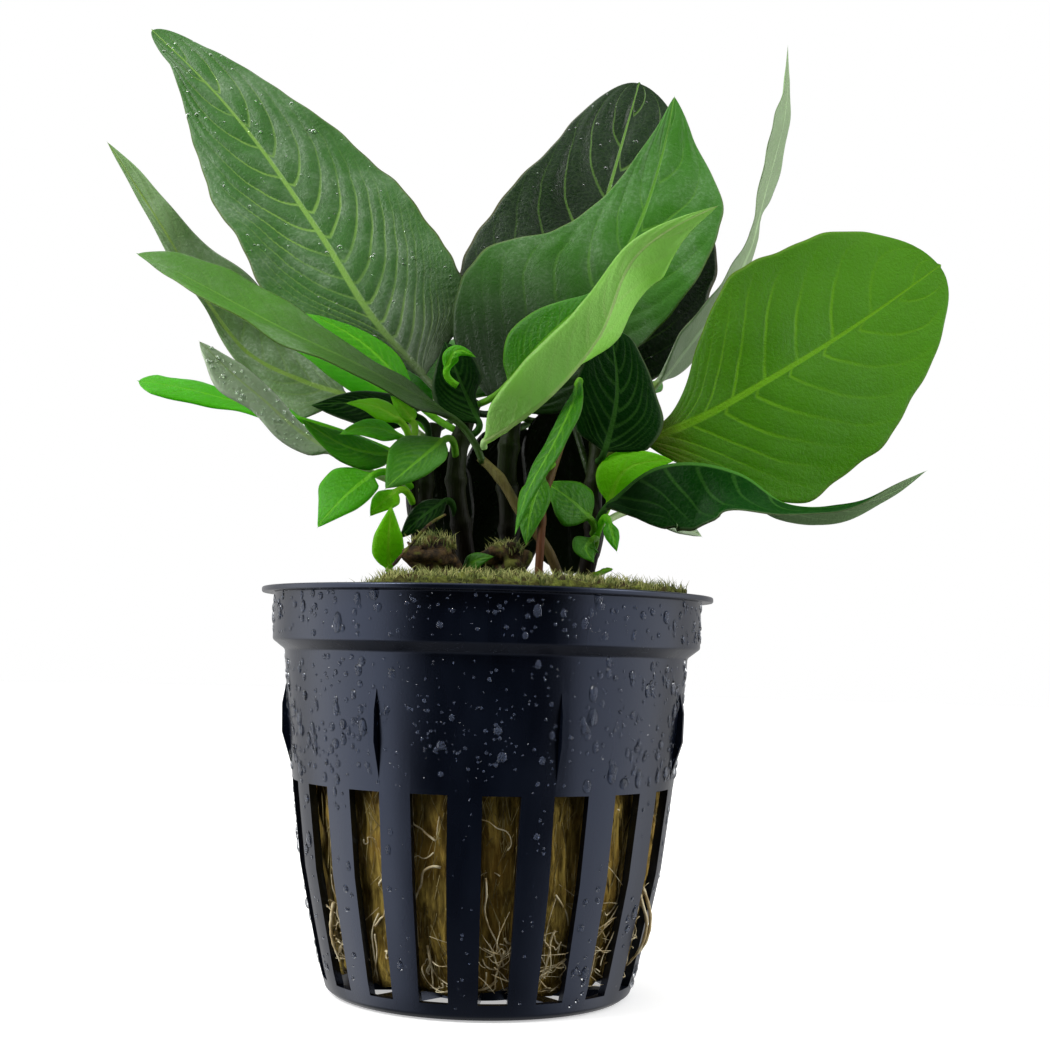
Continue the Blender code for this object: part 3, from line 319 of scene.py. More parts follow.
# Leaf finishes. bloom is the pale film on the skin and how far it covers it, partly the skin's own bloom and
# partly painted sheen, through the colour of the light that the blade lets past and glow its share, lines how
# far the side veins stand out, shade how much painted shade darkens the leaf in the middle of the plant, blush
# how red its base is, and paler_lit_tip how much lighter it is at the tip, partly a paler tip and partly
# painted light and sheen.
PLAIN_TONE = dict(bloom=0.05, glow=0.2, rough=0.36, gloss=0.2, lines=0.3, shade=0.0, blush=0.0, paler_lit_tip=0.1)
TONES = {
    "sheen": dict(upper=(0.032, 0.145, 0.01), lower=(0.1, 0.26, 0.04), vein=(0.22, 0.44, 0.06),
                  through=(0.06, 0.34, 0.01), bloom=0.35, rough=0.4, gloss=0.42, lines=0.85, shade=0.8,
                  blush=0.1, paler_lit_tip=0.25),
    "silver": dict(upper=(0.15, 0.27, 0.09), lower=(0.3, 0.42, 0.22), vein=(0.26, 0.44, 0.07),
                   through=(0.12, 0.36, 0.02), bloom=0.9, gloss=0.5, shade=0.35, paler_lit_tip=0.6),
    # pale grey-green whose whiteness is painted sheen, for leaves seen at a grazing angle
    "frost": dict(upper=(0.54, 0.68, 0.46), lower=(0.5, 0.62, 0.42), vein=(0.5, 0.68, 0.3),
                  through=(0.16, 0.4, 0.05), bloom=0.7, gloss=0.5, paler_lit_tip=0.2),
    "grey": dict(upper=(0.075, 0.24, 0.014), lower=(0.18, 0.34, 0.06), vein=(0.14, 0.36, 0.03),
                 through=(0.08, 0.36, 0.01), bloom=0.3, glow=0.25, rough=0.38, gloss=0.3, shade=0.85),
    "bright": dict(upper=(0.078, 0.34, 0.006), lower=(0.16, 0.46, 0.03), vein=(0.2, 0.6, 0.02),
                   through=(0.22, 0.8, 0.004), bloom=0.03, glow=0.45, lines=0.35, paler_lit_tip=0.2),
    "mid": dict(upper=(0.05, 0.245, 0.004), lower=(0.1, 0.34, 0.02), vein=(0.14, 0.42, 0.02),
                through=(0.09, 0.48, 0.004), bloom=0.1, glow=0.35, lines=0.4, shade=0.5, blush=0.1),
    "broad": dict(upper=(0.04, 0.195, 0.006), lower=(0.09, 0.3, 0.03), vein=(0.14, 0.4, 0.03),
                  through=(0.06, 0.38, 0.005), bloom=0.3, glow=0.25, rough=0.38, gloss=0.3, lines=0.6,
                  shade=1.0, paler_lit_tip=0.35),
    "dark": dict(upper=(0.005, 0.026, 0.003), lower=(0.03, 0.11, 0.02), vein=(0.16, 0.34, 0.05),
                 through=(0.02, 0.12, 0.004), glow=0.12, rough=0.3, gloss=0.3, lines=0.8, shade=0.5),
    "deep": dict(upper=(0.002, 0.046, 0.001), lower=(0.22, 0.36, 0.16), vein=(0.07, 0.24, 0.03),
                 through=(0.01, 0.16, 0.002), bloom=0.02, glow=0.15, gloss=0.05, lines=0.6, shade=0.7),
    "pale": dict(upper=(0.1, 0.36, 0.02), lower=(0.46, 0.72, 0.26), vein=(0.66, 0.86, 0.46),
                 through=(0.5, 0.84, 0.16), glow=0.5, rough=0.42, gloss=0.25, lines=0.35),
    "olive": dict(upper=(0.072, 0.205, 0.004), lower=(0.12, 0.32, 0.02), vein=(0.2, 0.48, 0.01),
                  through=(0.2, 0.54, 0.003), bloom=0.04, glow=0.4, rough=0.44, lines=0.75, shade=0.3,
                  blush=0.6, paler_lit_tip=0.5),
    "yellow": dict(upper=(0.2, 0.58, 0.006), lower=(0.28, 0.6, 0.02), vein=(0.34, 0.7, 0.03),
                   through=(0.36, 0.85, 0.01), bloom=0.03, glow=0.5, rough=0.38, blush=0.15),
}
TONES["lush"] = {**TONES["mid"], "upper": (0.040, 0.205, 0.003), "shade": 0.0}
TONES["shadow"] = {**TONES["dark"], "lower": (0.004, 0.012, 0.003), "shade": 0.9}
# colour of the pale film: partly the skin's own bloom, partly painted sheen
FILM_AND_SHEEN_COLOUR = (0.46, 0.58, 0.42)
BLUSH_COLOUR = (0.17, 0.055, 0.012)
# the record's material slot of the finishes that aren't a slot of their own
TONE_SLOTS = {"lush": "mid", "broad": "mid", "shadow": "dark", "deep": "dark", "silver": "grey",
              "frost": "grey"}
# centre of the painted shade that darkens the leaves in the middle of the plant
PLANT_HEART = (1.0, -1.0, 70.0)

# Water beads: they're smaller within this angle of the front
CALM_ANGLE, CALM_SHARE = 26.0, 0.55
BEAD_SIDES = 9
BEAD_RINGS = ((-0.15, 0.97), (0.1, 1.0), (0.45, 0.84), (0.72, 0.58), (0.88, 0.25))
POT_BEADS, POT_BEAD_TRIES = 2200, 40000
LARGEST_BEAD, LARGEST_LEAF_BEAD = 0.75, 0.4
SLOT_MARGIN = 0.7
SKIPPED_BETWEEN_SLOTS = 0.6
BARE_BAND = (41.0, 43.6)
LEAF_BEADS = {"leaf_tall_left": 150, "leaf_dark_back": 90, "leaf_grey_left": 60}

# Studio: how bright the surroundings are in each direction
FRONT_GLOW, PANEL_GLOW, BACK_GLOW, TOP_GLOW, FLOOR_GLOW = 0.02, 2.0, 0.6, 1.6, 0.3
LEFT_SHARE, RIGHT_SHARE = 1.2, 0.85
TOP_FADE = 0.45
# Lamps and floor, in metres and watts: place, size and power
LAMPS = {"key": ((-0.38, -0.22, 0.42), 0.16, 1.6), "side": ((0.45, -0.16, 0.30), 0.16, 0.9)}
LAMP_TARGET = (0, 0, 0.08)
FLOOR_RADIUS = 1.6
FLOOR_DROP = 0.0002

# Camera, solved from the rim, the collar and the foot of the pot in the photograph
PHOTO_WIDTH = 1050
FOCAL_PIXELS = 1641.8
SENSOR = 36.0
CAMERA_PLACE = (0.0, -209.32, 41.66)
CAMERA_PITCH, CAMERA_YAW, CAMERA_ROLL = 4.53, 1.22, 1.43


# Shapes: points and faces

def unit(vector):
    vector = np.asarray(vector, float)
    return vector / np.linalg.norm(vector, axis=-1, keepdims=True)


def smooth(share):
    share = np.clip(share, 0.0, 1.0)
    return share * share * (3 - 2 * share)


def circle(steps):
    """Angles of evenly spaced steps round a full turn."""
    return 2 * pi * np.arange(steps) / steps


def hermite(knots, values, tangents, shares):
    """Values and slopes of a piecewise cubic at the shares."""
    i = np.clip(np.searchsorted(knots, shares, side="right") - 1, 0, len(knots) - 2)
    h = knots[i + 1] - knots[i]
    u = (shares - knots[i]) / h
    if values.ndim > 1:
        u, h = u[:, None], h[:, None]
    place = ((2 * u**3 - 3 * u**2 + 1) * values[i] + (u**3 - 2 * u**2 + u) * h * tangents[i]
             + (3 * u**2 - 2 * u**3) * values[i + 1] + (u**3 - u**2) * h * tangents[i + 1])
    slope = ((6 * u**2 - 6 * u) * (values[i] - values[i + 1]) / h
             + (3 * u**2 - 4 * u + 1) * tangents[i] + (3 * u**2 - 2 * u) * tangents[i + 1])
    return place, slope


def along_curve(points, shares):
    """Points and directions at shares of the way along a smooth curve through the points."""
    points = np.asarray(points, float)
    steps = np.linalg.norm(np.diff(points, axis=0), axis=1)
    knots = np.concatenate([[0.0], np.cumsum(steps)]) / steps.sum()
    gaps = np.diff(knots)[:, None]
    slopes = np.diff(points, axis=0) / gaps
    inner = (slopes[:-1] * gaps[1:] + slopes[1:] * gaps[:-1]) / (gaps[1:] + gaps[:-1])
    tangents = np.vstack([slopes[:1], inner, slopes[-1:]])
    if len(points) > 2:
        tangents[0] = 1.5 * slopes[0] - 0.5 * tangents[1]
        tangents[-1] = 1.5 * slopes[-1] - 0.5 * tangents[-2]
    place, slope = hermite(knots, points, tangents, np.atleast_1d(np.asarray(shares, float)))
    return place, unit(slope)


def evenly_along(points, steps):
    """Evenly spaced points along a smooth curve through the points."""
    return along_curve(points, np.linspace(0, 1, steps))[0]


def values_along(values, shares):
    """A number, or a tuple of numbers spread evenly from base to tip, read at the shares."""
    values = np.atleast_1d(np.asarray(values, float))
    return np.interp(shares, np.linspace(0, 1, len(values)), values)


def half_width(widths, shares, blunt):
    """Half width of a blade: a smooth curve through the five stations, zero at both ends."""
    values = np.array([0.0, *widths, 0.0])
    slopes = np.diff(values) / np.diff(STATIONS)
    tangents = [1.5 * slopes[0]]
    for before, after in zip(slopes[:-1], slopes[1:]):
        tangents.append(2 * before * after / (before + after) if before * after > 0 else 0.0)
    tangents.append(1.15 * slopes[-1])
    width = np.maximum(hermite(STATIONS, values, np.array(tangents), shares)[0], 0.0)
    left_over = np.clip((1 - shares) / (1 - STATIONS[-2]), 0, 1)
    round_tip = (1 - blunt) * width + blunt * widths[-1] * np.sqrt(left_over)
    return np.where(left_over < 1, round_tip, width)


def ring_faces(count, rings, end_cap=True):
    """Faces between rings of equal size that are numbered one after another, and the caps."""
    row, column = np.meshgrid(np.arange(rings - 1), np.arange(count), indexing="ij")
    here, after = row * count + column, row * count + (column + 1) % count
    faces = np.stack([here, after, after + count, here + count], -1).reshape(-1, 4).tolist()
    faces.append(list(range(count))[::-1])
    if end_cap:
        faces.append(list(range((rings - 1) * count, rings * count)))
    return faces


def signed_volume(vertices, faces):
    """Sum over each face's first three corners and its last ones; above zero if the faces look outward."""
    quads = np.array([face if len(face) == 4 else [*face, face[-1]] for face in faces if len(face) < 5])
    a, b, c, d = (vertices[quads[:, k]] for k in range(4))
    return (np.einsum("ij,ij->i", a, np.cross(b, c)) + np.einsum("ij,ij->i", a, np.cross(c, d))).sum()


def placed(name, data):
    """New object of the scene for a mesh, a lamp or a camera."""
    made = bpy.data.objects.new(name, data)
    bpy.context.scene.collection.objects.link(made)
    return made


def new_mesh(name, vertices, faces):
    mesh = bpy.data.meshes.new(name)
    mesh.from_pydata((vertices * MM).tolist(), [], faces)
    return mesh


def add_piece(name, vertices, faces, surface, slot=None, replaces=(), marks=None):
    """Closed mesh from millimetre points. marks are named vectors, one for each vertex."""
    vertices = np.asarray(vertices, float)
    if signed_volume(vertices - vertices.mean(0), faces) < 0:
        faces = [list(reversed(face)) for face in faces]
    mesh = new_mesh(name, vertices, faces)
    for mark, values in (marks or {}).items():
        attribute = mesh.attributes.new(mark, "FLOAT_VECTOR", "POINT")
        attribute.data.foreach_set("vector", np.asarray(values, np.float32).ravel())
    mesh.shade_smooth()
    mesh.materials.append(surface)
    piece = placed(name, mesh)
    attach(piece, "root")
    if replaces:
        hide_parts(*replaces)


def tube(centres, radii, sides):
    """Vertices and faces of a round bar along a line; its rings are carried along without twist."""
    centres = np.asarray(centres, float)
    ahead = unit(np.gradient(centres, axis=0))
    turns = circle(sides)
    side = unit(np.cross(ahead[0], (0.3, 1, 0.1)))
    rings = []
    for centre, forward, radius in zip(centres, ahead, radii):
        side = unit(side - forward * (side @ forward))
        other = np.cross(forward, side)
        rings.append(centre + radius * (np.outer(np.cos(turns), side) + np.outer(np.sin(turns), other)))
    return np.vstack(rings), ring_faces(sides, len(rings))


def gathered(shapes):
    """Vertices and faces of several shapes as one list."""
    vertices, faces, count = [], [], 0
    for more, more_faces in shapes:
        faces += [[i + count for i in face] for face in more_faces]
        vertices.append(more)
        count += len(more)
    return np.vstack(vertices), faces


# Places on the pot

def around(radius, angle):
    """Plan position at an angle in degrees that starts at the front and turns towards +X."""
    return radius * sin(radians(angle)), -radius * cos(radians(angle))


def beside(radius, angle, side, height):
    """Point at a radius and an angle, moved sideways."""
    out_x, out_y = around(radius, angle)
    side_x, side_y = around(side, angle + 90)
    return out_x + side_x, out_y + side_y, height


def body_radius(height):
    return np.interp(height, [point[1] for point in BODY], [point[0] for point in BODY])


def wool_radius(height):
    return body_radius(height) - WALL - WOOL_CLEARANCE


def slot_angle(number):
    return FIRST_SLOT_ANGLE + number * 360 / SLOTS


def from_slot(angle):
    """Degrees between an angle and the middle of the nearest slot."""
    step = 360 / SLOTS
    return (angle - FIRST_SLOT_ANGLE + step / 2) % step - step / 2


# Materials

def scaled(colour, share):
    return tuple(part * share for part in colour)


class Nodes:
    """A node tree, with short calls for the nodes that the finishes and the surroundings use."""

    def __init__(self, tree):
        self.tree = tree

    def set(self, node, socket, value):
        if isinstance(value, bpy.types.NodeSocket):
            self.tree.links.new(value, node.inputs[socket])
        elif isinstance(value, tuple) and node.inputs[socket].type == "RGBA":
            node.inputs[socket].default_value = (*value, 1)
        else:
            node.inputs[socket].default_value = value

    def node(self, kind, inputs=(), **settings):
        made = self.tree.nodes.new("ShaderNode" + kind)
        for name, value in settings.items():
            setattr(made, name, value)
        for socket, value in dict(inputs).items():
            self.set(made, socket, value)
        return made

    def math(self, operation, *values, clamp=False):
        return self.node("Math", enumerate(values), operation=operation, use_clamp=clamp).outputs[0]

    def times(self, one, other):
        return self.math("MULTIPLY", one, other)

    def between(self, value, low, high, start=0.0, end=1.0):
        """Smooth step from start at low to end at high."""
        inputs = {"Value": value, "From Min": low, "From Max": high, "To Min": start, "To Max": end}
        return self.node("MapRange", inputs, interpolation_type="SMOOTHSTEP").outputs[0]

    def blend(self, share, one, other):
        """A number between two others."""
        return self.node("Mix", {0: share, 2: one, 3: other}).outputs[0]

    def split(self, vector):
        return self.node("SeparateXYZ", {0: vector}).outputs[:3]


class Surface(Nodes):
    """A node material round one shader."""

    def __init__(self, name, **settings):
        self.material = bpy.data.materials.new(name)
        self.material.use_nodes = True
        super().__init__(self.material.node_tree)
        self.shader = self.tree.nodes["Principled BSDF"]
        self.finish(**settings)

    def finish(self, **settings):
        for socket, value in settings.items():
            self.set(self.shader, socket.replace("_", " "), value)
        return self.material

    def mix(self, share, one, other):
        """A colour between two others."""
        made = self.node("Mix", data_type="RGBA")
        for socket, value in ((0, share), (6, one), (7, other)):
            self.set(made, socket, value)
        return made.outputs[2]

    def cover(self, base, mask, most, colour):
        """The base with a colour over it, where the mask is 1 as far as the share most says."""
        return self.mix(self.times(mask, most), base, colour)

    def place(self, stretch=(1, 1, 1)):
        """Object coordinates in millimetres, divided by the stretch."""
        coordinates = self.node("TexCoord").outputs["Object"]
        scale = tuple(1 / MM / value for value in stretch)
        return self.node("Mapping", {"Vector": coordinates, "Scale": scale}).outputs[0]

    def noise(self, size, detail=2.0, rough=0.5, stretch=(1, 1, 1)):
        inputs = {"Vector": self.place(stretch), "Scale": 1 / size, "Detail": detail, "Roughness": rough}
        return self.node("TexNoise", inputs).outputs["Fac"]

    def cell_edges(self, size):
        inputs = {"Vector": self.place(), "Scale": 1 / size}
        return self.node("TexVoronoi", inputs, feature="DISTANCE_TO_EDGE").outputs["Distance"]

    def bump(self, height, depth, strength=1.0):
        inputs = {"Height": height, "Distance": depth * MM, "Strength": strength}
        return self.node("Bump", inputs).outputs[0]

    def mark(self, name):
        """The three numbers of a named vector on the mesh."""
        return self.split(self.node("Attribute", attribute_name=name).outputs["Vector"])


def leaf_surface(tone):
    """Leaf skin: veins from the marks on the blade, a fine grain between them, and light let through."""
    look = {**PLAIN_TONE, **TONES[tone]}
    upper, lower, through = look["upper"], look["lower"], look["through"]
    s = Surface("leaf_" + tone, Specular_IOR_Level=look["gloss"])
    along, rib, spacing = s.mark("veins")
    across, under, share = s.mark("blade")
    wander = s.math("MULTIPLY_ADD", s.noise(4.0), 0.16, -0.08)
    nearest = s.times(s.math("PINGPONG", s.math("ADD", along, wander), 0.5), spacing)
    margin = s.math("ABSOLUTE", across)
    clear = s.times(s.between(s.noise(12.0), 0.35, 0.6, 0.45, 1.0), s.between(margin, 0.35, 0.97, 1.0, 0.1))
    lateral = s.times(s.between(nearest, 0.10, 0.45, 1.0, 0.0), clear)
    # painted shade in the valleys of the quilting, beside the side veins
    valley_shade = s.times(s.between(nearest, 0.25, 1.6, 0.6, 0.0), clear)
    midrib = s.between(rib, 0.6, 1.2, 1.0, 0.0)
    veins = s.math("MAXIMUM", s.times(lateral, look["lines"]), midrib)
    net = s.between(s.cell_edges(0.8), 0.0, 0.12, 1.0, 0.0)
    patches = s.between(s.noise(9.0, 3.0), 0.3, 0.7)
    grain = s.between(s.noise(0.45, 4.0, 0.6), 0.3, 0.75)
    # pale film in patches over the grain: partly the skin's own bloom, partly painted sheen
    film_and_sheen_mask = s.times(s.between(s.noise(7.0, 4.0, 0.6), 0.42, 0.7), s.between(grain, 0.2, 0.9, 0.4, 1.0))
    # painted shade: skin and let-through light darker towards the middle of the plant, where it lies in shade
    away = s.node("VectorMath", {0: s.place(), 1: PLANT_HEART}, operation="DISTANCE").outputs["Value"]
    painted_shade = s.between(away, 12.0, 36.0, look["shade"], 0.0)
    # lighter towards the tip: partly a paler tip, partly painted light from the side and painted sheen
    paler_lit_tip_colour = tuple(part * 1.9 + 0.02 for part in upper)

    skin = s.mix(under, upper, lower)
    skin = s.cover(skin, patches, 0.5, scaled(upper, 0.6))
    skin = s.cover(skin, valley_shade, 0.6, scaled(upper, 0.5))
    skin = s.cover(skin, grain, 0.15, scaled(upper, 1.8))
    ribs = s.mix(under, look["vein"], tuple(min(part * 1.6, 0.85) for part in lower))
    skin = s.cover(skin, net, 0.06, ribs)
    skin = s.cover(skin, film_and_sheen_mask, look["bloom"], FILM_AND_SHEEN_COLOUR)
    skin = s.mix(s.between(share, 0.35, 1.0, 0.0, look["paler_lit_tip"]), skin, paler_lit_tip_colour)
    skin = s.cover(skin, under, 0.75, lower)
    skin = s.mix(veins, skin, ribs)
    skin = s.mix(s.between(share, 0.0, 0.16, look["blush"], 0.0), skin, BLUSH_COLOUR)
    skin = s.mix(s.between(margin, 0.97, 0.995, 0.0, 0.3), skin, BLUSH_COLOUR)
    skin = s.mix(painted_shade, skin, scaled(upper, 0.15))
    height = s.math("SUBTRACT", s.times(grain, 0.7), s.times(net, 0.15))
    relief = s.bump(s.math("SUBTRACT", height, s.times(veins, 0.8)), 0.1, 0.6)
    roughness = s.between(s.noise(2.5, 3.0), 0.2, 0.8, look["rough"] - 0.07, look["rough"] + 0.1)
    s.finish(Base_Color=skin, Roughness=roughness, Normal=relief)
    lit = s.cover(through, veins, 0.6, scaled(through, 0.55))
    lit = s.mix(painted_shade, lit, scaled(through, 0.12))
    glow = s.node("BsdfTranslucent", {"Color": lit, "Normal": relief})
    both = s.node("MixShader", {0: look["glow"], 1: s.shader.outputs[0], 2: glow.outputs[0]})
    s.tree.links.new(both.outputs[0], s.tree.nodes["Material Output"].inputs["Surface"])
    return s.material


def plastic_surface():
    s = Surface("pot_plastic", Specular_IOR_Level=0.45, Specular_Tint=(0.60, 0.70, 1.0))
    flow = s.noise(7.0, 3.0, stretch=(1, 1, 3))
    grain = s.noise(0.25, 3.0)
    colour = s.mix(s.between(flow, 0.3, 0.7), (0.0020, 0.0032, 0.0075), (0.0045, 0.0070, 0.015))
    height = s.math("MULTIPLY_ADD", grain, 0.35, flow)
    roughness = s.between(flow, 0.25, 0.75, 0.22, 0.34)
    return s.finish(Base_Color=colour, Roughness=roughness, Normal=s.bump(height, 0.05, 0.4))


def wool_surface():
    s = Surface("rock_wool", Specular_IOR_Level=0.2)
    streaks = s.noise(0.5, 5.0, 0.65, stretch=(1, 1, 9))
    clouds = s.between(s.noise(6.0, 3.0), 0.35, 0.65)
    dark = s.between(s.noise(1.6, 4.0, stretch=(1, 1, 4)), 0.48, 0.7)
    colour = s.mix(s.between(streaks, 0.3, 0.7), (0.09, 0.058, 0.007), (0.40, 0.29, 0.060))
    colour = s.cover(colour, clouds, 0.5, (0.22, 0.115, 0.012))
    colour = s.cover(colour, dark, 0.6, (0.07, 0.045, 0.008))
    return s.finish(Base_Color=colour, Roughness=0.85, Normal=s.bump(streaks, 0.35, 0.9))


def fibre_surface(name, light, dark, rough=0.6):
    s = Surface(name, Specular_IOR_Level=0.35)
    colour = s.mix(s.between(s.noise(1.5, 3.0), 0.35, 0.65), dark, light)
    return s.finish(Base_Color=colour, Roughness=rough, Normal=s.bump(s.noise(0.2, 3.0), 0.05, 0.6))


def moss_surface():
    s = Surface("moss", Specular_IOR_Level=0.2)
    tufts = s.noise(0.9, 5.0, 0.7)
    clouds = s.between(s.noise(5.0, 3.0), 0.4, 0.62)
    colour = s.mix(s.between(tufts, 0.35, 0.65), (0.025, 0.028, 0.005), (0.16, 0.19, 0.03))
    colour = s.cover(colour, clouds, 0.8, (0.035, 0.018, 0.006))
    return s.finish(Base_Color=colour, Roughness=0.9, Normal=s.bump(tufts, 0.5))


def stem_surface(name, young, old):
    """Stem skin: green above, browner towards the foot, with faint lengthwise lines."""
    s = Surface(name, Specular_IOR_Level=0.08)
    height = s.split(s.place())[2]
    lines = s.noise(0.25, 3.0, stretch=(1, 1, 12))
    unevenness = s.math("MULTIPLY_ADD", s.noise(3.0), 0.6, -0.3)
    age = s.math("ADD", s.between(height, 54.0, 72.0), unevenness, clamp=True)
    colour = s.mix(age, old, young)
    colour = s.cover(colour, s.between(lines, 0.4, 0.7), 0.4, scaled(old, 0.4))
    return s.finish(Base_Color=colour, Roughness=0.45, Normal=s.bump(lines, 0.12, 0.8))


def debris_surface():
    s = Surface("old_stem", Specular_IOR_Level=0.25)
    crust = s.noise(0.8, 5.0, 0.7)
    colour = s.mix(s.between(crust, 0.35, 0.7), (0.010, 0.006, 0.003), (0.11, 0.065, 0.022))
    colour = s.mix(s.between(s.noise(2.2, 3.0), 0.50, 0.62, 0.0, 0.75), colour, (0.13, 0.15, 0.02))
    return s.finish(Base_Color=colour, Roughness=0.8, Normal=s.bump(crust, 0.4))


def water_surface():
    s = Surface("water", IOR=1.22, Transmission_Weight=1.0)
    ripple = s.noise(1.2, 1.0)
    return s.finish(Base_Color=(0.96, 0.98, 1.0), Roughness=s.between(ripple, 0.3, 0.7, 0.0, 0.03))


def floor_surface():
    s = Surface("floor", Specular_IOR_Level=0.1)
    colour = s.mix(s.noise(40.0), (0.84, 0.84, 0.84), (0.86, 0.86, 0.86))
    return s.finish(Base_Color=colour, Roughness=0.9, Emission_Color=(1.0, 1.0, 1.0), Emission_Strength=0.45)


# Leaves

def stem_point(name, height):
    """Centre of a stem at a height."""
    places = evenly_along(STEMS[name][1], 400)
    return places[np.argmin(abs(places[:, 2] - height))]


def leaf_root(leaf):
    """Where the petiole starts: a free point, or inside the skin of its stem."""
    if len(leaf.origin) == 3:
        return np.array(leaf.origin, float)
    stem, height = leaf.origin
    centre = stem_point(stem, height)
    outward = leaf.midrib[0] - centre
    outward[2] = 0.0
    return centre + unit(outward) * STEMS[stem][0] * PETIOLE_DEPTH


def petiole(leaf, shares):
    """Points and directions on the stalk between the stem and the blade."""
    root, base = leaf_root(leaf), leaf.midrib[0]
    bend = base - along_curve(leaf.midrib, 0)[1][0] * np.linalg.norm(base - root) * PETIOLE_BEND
    u = np.asarray(shares, float)[:, None]
    place = (1 - u)**2 * root + 2 * u * (1 - u) * bend + u**2 * base
    return place, unit((1 - u) * (bend - root) + u * (base - bend) + 1e-9)


def blade_frames(leaf, shares):
    """Midrib points with the directions along it, to the leaf's right, and out of its upper face."""
    place, forward = along_curve(leaf.midrib, shares)
    x = shares * (len(leaf.face) - 1)
    i = np.clip(x.astype(int), 0, len(leaf.face) - 2)
    faces = unit(leaf.face)
    face = faces[i] + (faces[i + 1] - faces[i]) * smooth(x - i)[:, None]
    right = unit(np.cross(forward, face))
    return place, forward, right, np.cross(right, forward)


def blade_grid(leaf, shares, across):
    """Middle surface of the blade as a grid of points, with their distances from the midrib and half widths."""
    place, _, right, up = blade_frames(leaf, shares)
    on_right = across[None, :] > 0
    side = np.where(on_right, 1.0, -1.0)
    widths = [half_width(half, shares, leaf.blunt)[:, None] for half in (leaf.right, leaf.left)]
    folds = [values_along(fold, shares)[:, None] for fold in leaf.fold]
    base = PETIOLE_RADIUS * (1 - smooth(shares / 0.1))[:, None]
    width = np.sqrt(np.where(on_right, *widths)**2 + base**2)
    margin = shares[:, None] * leaf.length + side * leaf.length
    uneven = sum(size * np.sin(margin / length + phase) for length, phase, size in MARGIN_WAVES)
    width = width * (1 + MARGIN_UNEVENNESS * uneven * smooth(shares / 0.15)[:, None])
    distance = np.abs(across)[None, :] * width
    reach = distance / np.where(on_right, max(leaf.right), max(leaf.left))
    fold = np.where(on_right, folds[1], folds[0])
    angle = np.radians(fold * smooth(shares / 0.04)[:, None] + leaf.curl * reach / 2)
    points = (place[:, None] + right[:, None] * (side * distance * np.cos(angle))[..., None]
              + up[:, None] * (distance * np.sin(angle))[..., None])
    return points, distance, width


def vein_count(leaf, shares, across):
    """Number of side veins passed on the way from base to tip, whole on a vein, and the space between two."""
    width = (max(leaf.left) + max(leaf.right)) / 2
    first = max(leaf.length / leaf.veins, LEAST_VEIN_SPACE)
    reach = np.abs(across)[None, :]
    forward = width * (0.5 * reach + leaf.arc * reach**2)
    start = np.maximum(shares[:, None] * leaf.length - forward, -0.9 * first / VEIN_GROWTH)
    other_side = 0.45 * np.clip(across / 0.05, 0, 1)[None, :]
    spacing = first + VEIN_GROWTH * start
    count = np.log(np.maximum(spacing, 0.05 * first) / first) / VEIN_GROWTH + other_side
    return count, np.maximum(spacing, 0.5)


def blade_relief(leaf, shares, across, veins, spacing, distance):
    """Height of the blade's own relief: quilting between the veins, a groove on each, waves and hollows."""
    rng = np.random.default_rng(SEED + len(leaf.name) * 7 + int(leaf.length * 10))
    phase = rng.uniform(0, 2 * pi, 6)
    reach = np.abs(across)[None, :]
    side = np.sign(across)[None, :]
    along = shares[:, None] * leaf.length
    width = max(*leaf.left, *leaf.right)
    nearest = np.abs(veins - np.round(veins))
    inner = smooth(reach / 0.12) * smooth((1 - reach) / 0.3)
    ends = (smooth(shares / 0.08) * smooth((1 - shares) / 0.12))[:, None]
    quilt = leaf.relief * (np.clip(nearest * 2, 0, 1)**0.7) * inner * ends
    groove = -0.25 * leaf.relief * np.exp(-(nearest * spacing / 0.3)**2) * inner * ends
    long_wave = np.sin(along / (0.55 * width + 2) * 2 + phase[0] + side * phase[1])
    short_wave = np.sin(along / (0.3 * width + 1) * 2 + phase[2] * side)
    wave = leaf.wave * min(width / 8, 1.0) * reach**2.5 * ends * (long_wave + 0.5 * short_wave)
    hollows = np.sin(along / 7 + phase[3] + distance / 5) * np.sin(distance / 4 + phase[4])
    return quilt + groove + wave + 0.25 * min(width / 10, 1.0) * ends * hollows


def around_ring(values):
    """Values across the upper face, then back across the lower one without the two margins."""
    return np.concatenate([values, values[..., -2:0:-1]], axis=-1)


def stalk_rings(leaf, across):
    """Rings of the stalk from the stem to the blade, numbered like those of the blade."""
    centres, forwards = petiole(leaf, np.arange(STALK_STEPS) / STALK_STEPS)
    right = blade_frames(leaf, np.array([0.0]))[2][0]
    rise = np.sqrt(1 - across**2)[:, None]
    rings = []
    for centre, forward in zip(centres[::-1], forwards[::-1]):
        right = unit(right - forward * (right @ forward))
        up = np.cross(right, forward)
        upper_half = centre + PETIOLE_RADIUS * (across[:, None] * right + rise * up)
        lower_half = centre + PETIOLE_RADIUS * (across[:, None] * right - rise * up)
        rings.append(np.concatenate([upper_half, lower_half[-2:0:-1]]))
    return np.array(rings[::-1])


def whole_marks(blade, stalk):
    """A mark for the whole leaf: one vector all over the stalk, those of the blade, and zeros at the tip."""
    stalk_rows = np.tile(np.array(stalk, float), (STALK_STEPS * blade.shape[1], 1))
    return np.vstack([stalk_rows, blade.reshape(-1, 3), np.zeros((1, 3))])


